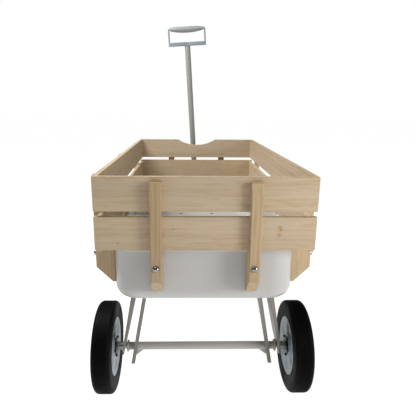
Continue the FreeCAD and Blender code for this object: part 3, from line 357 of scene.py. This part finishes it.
def dress_cad_nodes():
    """Every CAD piece gets its finished material; each board and stake gets wood of its own."""
    low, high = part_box("rear_board_lower")
    knots = [((high.x*side, low.y, low.z + (high.z - low.z)*up), size) for side, up, size in KNOTS]
    for seed, (node, piece) in enumerate(sorted(NODES.items()), start=3):
        slot = NODE_SLOT[node]
        if slot == "board_wood":
            grain = "X" if node.startswith(("rear", "front")) else "Y"
            tint = 0.95 + 0.10*rng.random()
            material = wood(f"wood_{node}", node, grain, seed, tuple(c*tint for c in WOOD_LIGHT),
                            tuple(c*tint for c in WOOD_DARK),
                            knots=knots if node == "rear_board_lower" else ())
        elif slot == "stake_wood":
            tint = 0.95 + 0.10*rng.random()
            material = wood(f"wood_{node}", node, "Z", seed, tuple(c*tint for c in STAKE_LIGHT),
                            tuple(c*tint for c in STAKE_DARK), ring=0.0085)
        else:
            # Legs, braces, axle tubes and shaft get the copies of the frame paint with painted light and
            # shade.
            material = LIT_AND_SHADED_FRAME_PAINT.get(node, SLOT_MATERIAL[slot])
        piece.data.materials.clear()
        piece.data.materials.append(material)


# ---------------------------------------------------------------- mesh helpers

def new_piece(name, mesh_data, material, sharp=35.0):
    """An object with one material, smooth apart from edges sharper than an angle in degrees."""
    mesh_data.materials.append(material)
    for face in mesh_data.polygons:
        face.use_smooth = True
    mesh_data.set_sharp_from_angle(angle=math.radians(sharp))
    piece = bpy.data.objects.new(name, mesh_data)
    bpy.context.scene.collection.objects.link(piece)
    return piece


def lathe(profile, turns, matrix, closed=True, shape=None):
    """Points (along, radius) turned about local Z; shape(along, radius, angle) may move a point's along."""
    bm = bmesh.new()
    rings = []
    for step in range(turns):
        angle = TAU*step/turns
        ring = []
        for along, radius in profile:
            height = shape(along, radius, angle) if shape else along
            point = Vector((radius*math.cos(angle), radius*math.sin(angle), height))
            ring.append(bm.verts.new(matrix @ point))
        rings.append(ring)
    count = len(profile) if closed else len(profile) - 1
    for step in range(turns):
        near, far = rings[step], rings[(step + 1) % turns]
        for i in range(count):
            j = (i + 1) % len(profile)
            bm.faces.new((near[i], far[i], far[j], near[j]))
    bmesh.ops.remove_doubles(bm, verts=bm.verts, dist=1e-7)
    bmesh.ops.recalc_face_normals(bm, faces=bm.faces)
    return bm


def finish_mesh(name, parts):
    """One mesh from several bmeshes, which are used up."""
    mesh_data = bpy.data.meshes.new(name)
    joined = bmesh.new()
    for part in parts:
        temporary = bpy.data.meshes.new("temporary")
        part.to_mesh(temporary)
        part.free()
        joined.from_mesh(temporary)
        bpy.data.meshes.remove(temporary)
    joined.to_mesh(mesh_data)
    joined.free()
    return mesh_data


def facing(direction, at):
    """A matrix whose local Z points along direction, at a place."""
    return Matrix.Translation(at) @ direction.to_track_quat("Z", "Y").to_matrix().to_4x4()


def away(axis, centre, middle=Vector()):
    """The axis, turned so that it points from middle towards centre."""
    return axis if (centre - middle).dot(axis) > 0 else -axis


def islands(node):
    """The boxes of a CAD node's separate solids, as (low, high) corners."""
    bm = bmesh.new()
    bm.from_mesh(NODES[node].data)
    bmesh.ops.remove_doubles(bm, verts=bm.verts, dist=1e-6)
    seen, boxes = set(), []
    for vertex in bm.verts:
        if vertex in seen:
            continue
        stack, found = [vertex], []
        seen.add(vertex)
        while stack:
            point = stack.pop()
            found.append(point.co.copy())
            for edge in point.link_edges:
                other = edge.other_vert(point)
                if other not in seen:
                    seen.add(other)
                    stack.append(other)
        low = Vector(tuple(min(c[k] for c in found) for k in range(3)))
        high = Vector(tuple(max(c[k] for c in found) for k in range(3)))
        boxes.append((low, high))
    bm.free()
    return boxes


def stand_for(piece, node):
    """Let a finer piece take a CAD node's place, on its body."""
    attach(piece, NODE_BODY[node])
    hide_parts(node)


# ---------------------------------------------------------------- wheels

TYRE_DEPTH = 47.6*MM
RIBS, RIB_INNER, RIB_REACH, RIB_LIFT = 5, 38*MM, 29*MM, 4.2*MM
HUB_BOLTS, HUB_BOLT_CIRCLE, HUB_BOLT_SEAT = 5, 26.0*MM, 22.0*MM
VALVE_RADIUS, VALVE_FOOT = 53.4*MM, 15*MM


def arc(centre, radius, start, stop, steps):
    """Points (along, out) on an arc, angles in degrees."""
    for i in range(steps + 1):
        angle = math.radians(start + (stop - start)*i/steps)
        yield centre[0] + radius*math.cos(angle), centre[1] + radius*math.sin(angle)


def tyre_profile(half, outer, bead):
    """Half of the tyre's outer face from tread to bead, mirrored, with fine grooves round the tread."""
    grooves, pitch, depth, lip = 5, 2.9*MM, 1.1*MM, 0.45*MM
    side = []
    for i in range(grooves):
        middle = pitch*(i + 0.5)
        side += [(middle - lip*1.6, outer), (middle - lip, outer - depth), (middle + lip, outer - depth),
                 (middle + lip*1.6, outer)]
    tread = pitch*(grooves + 0.1)
    shoulder = half - tread - 0.6*MM
    side += list(arc((tread, outer - shoulder), shoulder, 88, 20, 8))
    side += [(half - 0.4*MM, outer - 17*MM), (half, outer - 21*MM), (half, outer - 23*MM),
             (half - 0.9*MM, outer - 24*MM), (half - 1.1*MM, outer - 33*MM), (half - 0.5*MM, outer - 34*MM),
             (half - 0.7*MM, outer - 37*MM), (half - 1.6*MM, outer - 41*MM), (half - 3.0*MM, bead + 3*MM),
             (half - 4.0*MM, bead + 1.0*MM), (half - 5.0*MM, bead)]
    return side


def make_tyre(node):
    low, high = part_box(node)
    centre = (low + high)/2
    half, outer = (high.x - low.x)/2, (high.z - low.z)/2
    bead = outer - TYRE_DEPTH
    side = tyre_profile(half, outer, bead)
    inside = [(half - 12*MM, bead), (half - 9*MM, outer - 30*MM), (half - 12*MM, outer - 12*MM)]
    right = side + inside
    profile = right + [(-along, radius) for along, radius in reversed(right)]
    tyre = lathe(profile, 144, facing(X, centre))
    piece = new_piece(f"{node}_tread", finish_mesh(node, [tyre]), RUBBER, 28)
    stand_for(piece, node)


def make_rim(node):
    """Two pressed discs with stamped ribs, their hub flanges and bolts, and the valve."""
    low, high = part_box(node)
    centre = (low + high)/2
    hub_half = (high.x - low.x)/2
    half = [(hub_half - 0.7*MM, 17.0*MM), (hub_half - 0.7*MM, 21.2*MM), (23.6*MM, 21.2*MM),
            (22.6*MM, 24.0*MM), (21.6*MM, 34.5*MM), (20.2*MM, 37.0*MM), (17.2*MM, 40.0*MM), (16.2*MM, 44*MM),
            (16.0*MM, 50*MM), (16.3*MM, 57*MM), (17.2*MM, 62*MM), (19.4*MM, 66*MM), (20.6*MM, 69*MM),
            (20.8*MM, 73*MM), (21.2*MM, 76*MM), (22.2*MM, 78*MM), (22.8*MM, 79.4*MM), (22.4*MM, 80.3*MM),
            (21.6*MM, 80.4*MM), (20.9*MM, 79.4*MM), (19.6*MM, 78.4*MM)]
    fine = []
    for (a, r), (b, q) in zip(half, half[1:]):
        steps = max(1, int(abs(q - r)/(2.2*MM)))
        fine += [(a + (b - a)*k/steps, r + (q - r)*k/steps) for k in range(steps)]
    fine.append(half[-1])
    profile = fine + [(-a, r) for a, r in reversed(fine)]

    def ribs(along, radius, angle):
        """Raise the ribs on the dished part of each disc."""
        lift = max(0.0, math.sin(math.pi*(radius - RIB_INNER)/RIB_REACH))
        crest = max(0.0, math.cos(RIBS*angle))**1.6
        return along + math.copysign(RIB_LIFT*min(1.0, lift*1.5)*crest, along)

    discs = [lathe(profile, 180, facing(X, centre), shape=ribs)]
    piece = new_piece(f"{node}_discs", finish_mesh(node, discs), WHEEL_PAINT, 40)
    stand_for(piece, node)

    bolts = []
    for k in range(HUB_BOLTS):
        angle = TAU*(k + 0.5)/HUB_BOLTS
        for out in (-1, 1):
            at = centre + Vector((out*HUB_BOLT_SEAT, HUB_BOLT_CIRCLE*math.cos(angle),
                                  HUB_BOLT_CIRCLE*math.sin(angle)))
            bolts += hexagon_nut(facing(X*out, at), 4.4*MM, 3.6*MM, 2.6*MM, stud=1.2*MM)
    flange = [(hub_half, 17.3*MM), (hub_half, 21.4*MM), (hub_half - 0.9*MM, 22.2*MM), (23.3*MM, 22.4*MM),
              (23.1*MM, 27.4*MM), (21.8*MM, 28.0*MM), (21.8*MM, 21.4*MM), (hub_half - 0.6*MM, 21.3*MM),
              (hub_half - 0.6*MM, 17.3*MM)]
    for out in (-1, 1):
        bolts.append(lathe(flange, 72, facing(X*out, centre)))
    fittings = new_piece(f"{node}_bolts", finish_mesh(f"{node}_bolts", bolts), DARK_STEEL)
    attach(fittings, NODE_BODY[node])

    out = 1 if centre.x > 0 else -1
    stem_at = centre + Vector((out*VALVE_FOOT, 0, VALVE_RADIUS))
    stem = [(0, 0), (0, 5.2*MM), (2*MM, 4.4*MM), (4*MM, 3.4*MM), (8.0*MM, 3.0*MM), (8.2*MM, 2.4*MM),
            (9.2*MM, 2.6*MM), (11.2*MM, 2.6*MM), (11.6*MM, 2.1*MM), (11.6*MM, 0)]
    stem_mesh = lathe(stem, 24, facing(X*out, stem_at), closed=False)
    valve = new_piece(f"{node}_valve", finish_mesh(f"{node}_valve", [stem_mesh]), RUBBER)
    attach(valve, NODE_BODY[node])


def make_bearings(node):
    """Each bearing as an outer race, a recessed seal and an inner race."""
    parts = []
    for low, high in islands(node):
        centre = (low + high)/2
        half = (high.x - low.x)/2
        outer = (high.z - low.z)/2
        side = [(half, outer), (half, outer - 2.4*MM), (half - 0.8*MM, outer - 2.8*MM),
                (half - 0.8*MM, outer - 5.2*MM), (half, outer - 5.6*MM), (half, 8.05*MM)]
        profile = side + [(-a, r) for a, r in reversed(side)]
        parts.append(lathe(profile, 48, facing(X, centre)))
    piece = new_piece(f"{node}_races", finish_mesh(node, parts), DARK_STEEL)
    stand_for(piece, node)


# ---------------------------------------------------------------- fasteners

def hexagon_nut(matrix, half, thick, bore, stud=0.0):
    """A chamfered hexagon nut standing on local Z = 0, with the bolt's end standing proud by stud."""
    bm = bmesh.new()
    reach = half*2/math.sqrt(3)
    chamfer = thick*0.14
    layers = [(0.0, 0.97*half), (chamfer, reach), (thick - chamfer, reach), (thick, 0.97*half)]
    turns = 48
    rings = []
    for height, limit in layers:
        ring = []
        for step in range(turns):
            angle = TAU*step/turns
            local = (angle % (TAU/6)) - TAU/12
            flat = half/math.cos(local)
            radius = min(flat, limit)
            point = Vector((radius*math.cos(angle), radius*math.sin(angle), height))
            ring.append(bm.verts.new(matrix @ point))
        rings.append(ring)
    inner = []
    for height in (thick, thick - 0.3*MM):
        inner.append([bm.verts.new(matrix @ Vector((bore*math.cos(TAU*k/turns), bore*math.sin(TAU*k/turns),
                                                     height))) for k in range(turns)])
    stack = rings + inner
    for near, far in zip(stack, stack[1:]):
        for k in range(turns):
            bm.faces.new((near[k], near[(k + 1) % turns], far[(k + 1) % turns], far[k]))
    bm.faces.new(list(reversed(rings[0])))
    bm.faces.new(inner[-1])
    bmesh.ops.recalc_face_normals(bm, faces=bm.faces)
    found = [bm]
    if stud:
        end = [(thick - 0.3*MM, bore*0.97), (thick + stud - 0.5*MM, bore*0.97), (thick + stud, bore*0.75),
               (thick + stud, 0)]
        found.append(lathe([(thick - 0.3*MM, 0)] + end, 24, matrix, closed=False))
    return found


TUB_LOW, TUB_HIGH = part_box("tub")
TUB_MIDDLE = (TUB_LOW + TUB_HIGH)/2


def make_stake_bolts():
    """Chrome domes with a narrow brim, each on a short shank in its stake."""
    parts = []
    for low, high in islands("stake_bolts"):
        centre, span = (low + high)/2, high - low
        out = away(X if span.x > span.y else Y, centre, TUB_MIDDLE)
        tip = max(abs((high - centre).dot(out)), abs((low - centre).dot(out)))
        radius = (high.z - low.z)/2
        seat = centre + out*(tip - 7.5*MM)
        dome = [(-20*MM, 0), (-20*MM, 3*MM), (0, 3*MM), (0, radius - 0.2*MM), (0.5*MM, radius)]
        dome += [(0.9*MM + 6.6*MM*math.sin(t), (radius - 0.2*MM)*math.cos(t))
                 for t in [math.pi/2*k/10 for k in range(11)]]
        parts.append(lathe(dome, 40, facing(out, seat), closed=False))
    # The domes' dark chrome colour is a painted reflection of dark surroundings.
    piece = new_piece("stake_bolt_domes", finish_mesh("stake_bolt_domes", parts), CHROME, 50)
    stand_for(piece, "stake_bolts")


def make_nut_group(node, stud, material):
    """Chamfered nuts in place of a CAD node's plain ones."""
    parts = []
    for low, high in islands(node):
        centre, span = (low + high)/2, high - low
        thin = min(range(3), key=lambda k: span[k])
        axis = (X, Y, Z)[thin]
        if node == "floor_nuts":
            direction = -Z
        elif node == "stake_nuts":
            direction = -away(axis, centre, TUB_MIDDLE)
        else:
            direction = away(axis, centre)
        half = min(span[k] for k in range(3) if k != thin)/2
        thick = span[thin]
        base = centre - direction*thick/2
        parts += hexagon_nut(facing(direction, base), half, thick, half*0.6, stud=stud)
    piece = new_piece(f"{node}_hex", finish_mesh(f"{node}_hex", parts), material)
    stand_for(piece, node)


def make_board_screws():
    """Pan-head screws with a cross recess, dull against the wood.

    Each head stands at its screw's outer end, where the stake hides it. The CAD heads are on the
    boards' inner faces.
    """
    head, low_head, shank = 3.2*MM, 1.0*MM, 1.9*MM
    side = [(-6*MM, 0), (-6*MM, shank), (0, shank), (0, head - 0.15*MM), (0.2*MM, head)]
    side += [(0.2*MM + (low_head - 0.2*MM)*math.sin(t), head*math.cos(t))
             for t in [math.pi/2*k/7 for k in range(1, 8)]]

    def recess(along, radius, angle):
        """Sink the middle of the head where it lies in either slot of the cross."""
        across = min(abs(radius*math.sin(angle)), abs(radius*math.cos(angle)))
        return along - 0.55*MM if along > 0.3*MM and radius < 1.9*MM and across < 0.42*MM else along

    parts = []
    for low, high in islands("board_screws"):
        centre, span = (low + high)/2, high - low
        out = away(X if span.x > span.y else Y, centre, TUB_MIDDLE)
        seat = centre + out*(max(span.x, span.y)/2 - low_head)
        parts.append(lathe(side, 32, facing(out, seat), closed=False, shape=recess))
    piece = new_piece("board_screw_heads", finish_mesh("board_screw_heads", parts), DULL_ZINC, 40)
    stand_for(piece, "board_screws")


# ---------------------------------------------------------------- welds

AXLE_HEIGHT, AXLE_TUBE_RADIUS = 127*MM, 11*MM


def weld_bead(start, axis, centre, radius=1.5*MM, pitch=2.3*MM, sides=8):
    """A rippled bead round the circle that start makes as it turns about axis at centre."""
    bm = bmesh.new()
    spoke = start - centre
    length = TAU*spoke.length
    count = int(length/(pitch/3))
    layers = []
    for i in range(count):
        share = i/count
        turned = Matrix.Rotation(TAU*share, 3, axis) @ spoke
        middle, out = centre + turned, turned.normalized()
        swell = radius*(0.86 + 0.14*abs(math.sin(math.pi*share*length/pitch)))
        layers.append([bm.verts.new(middle + swell*(out*math.cos(TAU*k/sides) + axis*math.sin(TAU*k/sides)))
                       for k in range(sides)])
    for near, far in zip(layers, layers[1:] + layers[:1]):
        for k in range(sides):
            bm.faces.new((near[k], near[(k + 1) % sides], far[(k + 1) % sides], far[k]))
    bmesh.ops.recalc_face_normals(bm, faces=bm.faces)
    return bm


def make_axle_welds(end):
    """Beads round the axle tube where the collars meet it."""
    low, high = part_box(f"{end}_axle_tube")
    parts = []
    collars = sorted(islands(f"{end}_axle_collars"), key=lambda pair: pair[0].x)
    for (near, far), inner in zip(collars, (1, -1)):
        face = far.x if inner > 0 else near.x
        middle = Vector((face + inner*0.4*MM, (low.y + high.y)/2, AXLE_HEIGHT))
        parts.append(weld_bead(middle + Z*(AXLE_TUBE_RADIUS + 0.3*MM), X, middle))
    # The beads wear the axle tube's lighter copy of the frame paint, with painted light.
    piece = new_piece(f"{end}_axle_welds", finish_mesh(f"{end}_axle_welds", parts), LIT_TUBE_PAINT)
    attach(piece, NODE_BODY[f"{end}_axle_tube"])


# ---------------------------------------------------------------- handle

PIVOT = (7.7*MM, TUB_MIDDLE.y + 572*MM, 200*MM)
LEAN_BACK, LEAN_LEFT = math.radians(2.5), math.radians(3.6)
YOKE_RISE, SHAFT_LENGTH = 66*MM, 784*MM
# The handle's own frame, with its origin at the top of the shaft.
HANDLE_TOP = (Matrix.Translation(PIVOT) @ Matrix.Rotation(LEAN_BACK, 4, "X")
              @ Matrix.Translation((0, 0, YOKE_RISE)) @ Matrix.Rotation(-LEAN_LEFT, 4, "Y")
              @ Matrix.Translation((0, 0, SHAFT_LENGTH)))
GRIP_HALF, GRIP_TOP, GRIP_RADIUS = 81.5*MM, 80.5*MM, 13.5*MM
BAR_HIGH, BAR_HALF, STRAP, STRAP_HALF = 16*MM, 11*MM, 6.5*MM, 8*MM


def make_shaft_weld():
    """The bead round the top of the shaft, under the loop's bar."""
    top = HANDLE_TOP @ Vector((0, 0, -0.5*MM))
    axis = (HANDLE_TOP.to_3x3() @ Z).normalized()
    spoke = (HANDLE_TOP.to_3x3() @ X).normalized()*12.2*MM
    bead = weld_bead(top + spoke, axis, top)
    # The bead wears the shaft's darker copy of the frame paint, with painted shade.
    piece = new_piece("shaft_weld", finish_mesh("shaft_weld", [bead]), SHADED_SHAFT_PAINT)
    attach(piece, "handle")


def tube_sections(rings):
    """A closed skin over equal rings of points in the handle's frame, with its two ends capped."""
    bm = bmesh.new()
    layers = [[bm.verts.new(HANDLE_TOP @ Vector(point)) for point in ring] for ring in rings]
    count = len(layers[0])
    for near, far in zip(layers, layers[1:]):
        for k in range(count):
            bm.faces.new((near[k], near[(k + 1) % count], far[(k + 1) % count], far[k]))
    bm.faces.new(list(reversed(layers[0])))
    bm.faces.new(layers[-1])
    bmesh.ops.recalc_face_normals(bm, faces=bm.faces)
    return bm


def rounded_box(half_x, half_y, corner, steps=4):
    """The outline of a rectangle with round corners, as points (x, y)."""
    points = []
    for quarter, (sx, sy) in enumerate(((1, 1), (-1, 1), (-1, -1), (1, -1))):
        centre = (sx*(half_x - corner), sy*(half_y - corner))
        points += list(arc(centre, corner, 90*quarter, 90*quarter + 90, steps))
    return points


def make_handle_loop():
    """The grip's loop: a strap bent round two soft corners and a channel bar along the bottom."""
    bend, middle = 9*MM, STRAP/2
    side = GRIP_HALF - middle
    crest = GRIP_TOP - 8.5*MM
    route = [(-side, 1.5*MM, 0), (-side, 12*MM, 0)]
    route += [(-side + bend - bend*math.cos(t), crest - bend + bend*math.sin(t), math.degrees(t))
              for t in [math.pi/2*k/8 for k in range(9)]]
    route.append((0, crest, 90))
    route += [(-x, z, 180 - turn) for x, z, turn in reversed(route[:-1])]
    outline = rounded_box(middle, STRAP_HALF, 1.6*MM)
    rings = []
    for x, z, turn in route:
        angle = math.radians(turn)
        rings.append([(x + across*math.cos(angle), deep, z - across*math.sin(angle))
                      for across, deep in outline])
    strap = tube_sections(rings)

    bar = []
    profile = rounded_box(BAR_HIGH/2 - 0.4*MM, BAR_HALF, 2.4*MM, 5)
    stations = [(-1, 0.86), (-0.985, 0.97), (-0.97, 1), (-0.02, 1), (-0.012, 0.975), (0.012, 0.975),
                (0.02, 1), (0.97, 1), (0.985, 0.97), (1, 0.86)]
    for share, scale in stations:
        bar.append([(share*GRIP_HALF, deep*scale, BAR_HIGH/2 + up*scale) for up, deep in profile])
    piece = new_piece("handle_loop", finish_mesh("handle_loop", [strap, tube_sections(bar)]),
                      GRIP_FRAME_PAINT, 32)
    stand_for(piece, "handle_frame")


def make_grip():
    """The moulded grip: nearly flat on top, bellied below, with a parting line and two end collars."""
    length = GRIP_HALF - STRAP - 0.4*MM
    axis = GRIP_TOP - GRIP_RADIUS
    rings, turns, stations = [], 48, 44
    for i in range(stations + 1):
        share = -1 + 2*i/stations
        belly = math.cos(share*math.pi/2)
        top = 6.2*MM + (GRIP_RADIUS - 7.8*MM)*min(1.0, belly*1.9)**0.55
        under = 2.0*MM + (GRIP_RADIUS - 2.0*MM)*belly**0.62
        wide = 8.6*MM + (GRIP_RADIUS - 8.6*MM)*belly**0.7
        ring = []
        for k in range(turns):
            angle = TAU*k/turns
            up, deep = math.sin(angle), math.cos(angle)
            seam = 1 + (0.028 if abs(up) < 0.07 else 0)
            groove = 0.965 if 0.895 < abs(share) < 0.93 else 1.0
            height = up*(top if up > 0 else under)
            ring.append((share*length, deep*wide*seam*groove, axis + height*groove))
        rings.append(ring)
    piece = new_piece("handle_grip_moulding", finish_mesh("handle_grip_moulding", [tube_sections(rings)]),
                      GRIP_PLASTIC, 40)
    stand_for(piece, "handle_grip")


# ---------------------------------------------------------------- stage

def make_stage():
    """A wide pale floor that runs out past the view, glowing a little so that shadows stay faint."""
    bpy.ops.mesh.primitive_plane_add(size=60, location=(0, 2.0, 0))
    floor = bpy.context.object
    floor.name = "studio_floor"
    s = Shader("studio_floor")
    s.colour(s.mix(s.noise(s.place(), 1.5, 2), (0.20, 0.20, 0.20), (0.23, 0.23, 0.23)))
    s.set(Roughness=1.0, Specular_IOR_Level=0.0, Emission_Color=(1, 1, 1, 1), Emission_Strength=0.965)
    floor.data.materials.append(s.material)


def area_light(name, place, target, size, power):
    """A round lamp at place that shines on target and that the camera does not see."""
    data = bpy.data.lights.new(name, "AREA")
    data.shape = "DISK"
    data.size = size
    data.energy = power
    lamp = bpy.data.objects.new(name, data)
    lamp.location = place
    lamp.visible_camera = False
    lamp.rotation_euler = (Vector(target) - Vector(place)).to_track_quat("-Z", "Y").to_euler()
    bpy.context.scene.collection.objects.link(lamp)


def make_lights():
    """A world that looks white but lights faintly, a key lamp behind on the right and one above the tub."""
    world = bpy.data.worlds.new("studio")
    bpy.context.scene.world = world
    world.use_nodes = True
    tree = world.node_tree
    tree.nodes.clear()
    output = tree.nodes.new("ShaderNodeOutputWorld")
    seen, lighting = tree.nodes.new("ShaderNodeBackground"), tree.nodes.new("ShaderNodeBackground")
    seen.inputs["Color"].default_value = (1, 1, 1, 1)
    seen.inputs["Strength"].default_value = 1.0
    lighting.inputs["Color"].default_value = (0.97, 0.985, 1, 1)
    lighting.inputs["Strength"].default_value = 0.14
    path, mixer = tree.nodes.new("ShaderNodeLightPath"), tree.nodes.new("ShaderNodeMixShader")
    tree.links.new(path.outputs["Is Camera Ray"], mixer.inputs[0])
    tree.links.new(lighting.outputs[0], mixer.inputs[1])
    tree.links.new(seen.outputs[0], mixer.inputs[2])
    tree.links.new(mixer.outputs[0], output.inputs["Surface"])
    area_light("key", place=(0.98, -1.10, 0.78), target=(0.20, -0.5, 0.5), size=0.5, power=8.4)
    area_light("interior", place=(-0.8, -0.10, 1.9), target=(0.10, 0.3, 0.5), size=1.0, power=36)
    bpy.context.scene.view_settings.view_transform = "Standard"


def make_camera():
    """Behind the wagon, a little left of its middle, looking slightly down."""
    place = Vector((-0.0433, TUB_MIDDLE.y - 1.3913, 0.8018))
    pitch, heading, roll = math.radians(14.18), math.radians(1.29), math.radians(0.43)
    ahead = Vector((math.sin(heading)*math.cos(pitch), math.cos(heading)*math.cos(pitch), -math.sin(pitch)))
    right = ahead.cross(Z).normalized()
    up = right.cross(ahead)
    tilted_right = right*math.cos(roll) + up*math.sin(roll)
    tilted_up = up*math.cos(roll) - right*math.sin(roll)
    turn = Matrix((tilted_right, tilted_up, -ahead)).transposed()
    data = bpy.data.cameras.new("camera")
    data.sensor_width = 36.0
    data.lens = 35.68
    data.shift_x = 0.0294
    data.clip_start = 0.05
    camera = bpy.data.objects.new("camera", data)
    camera.matrix_world = Matrix.Translation(place) @ turn.to_4x4()
    bpy.context.scene.collection.objects.link(camera)
    bpy.context.scene.camera = camera


dress_cad_nodes()
for end in ("front", "rear"):
    for hand in ("left", "right"):
        make_tyre(f"{end}_wheel_{hand}_tyre")
        make_rim(f"{end}_wheel_{hand}_rim")
        make_bearings(f"{end}_wheel_{hand}_bearings")
    make_nut_group(f"{end}_axle_nuts", 0.0, ZINC)
    make_axle_welds(end)
make_stake_bolts()
make_board_screws()
make_handle_loop()
make_grip()
make_shaft_weld()
make_nut_group("stake_nuts", 1.0*MM, ZINC)
make_nut_group("floor_nuts", 2.0*MM, ZINC)
make_stage()
make_lights()
make_camera()
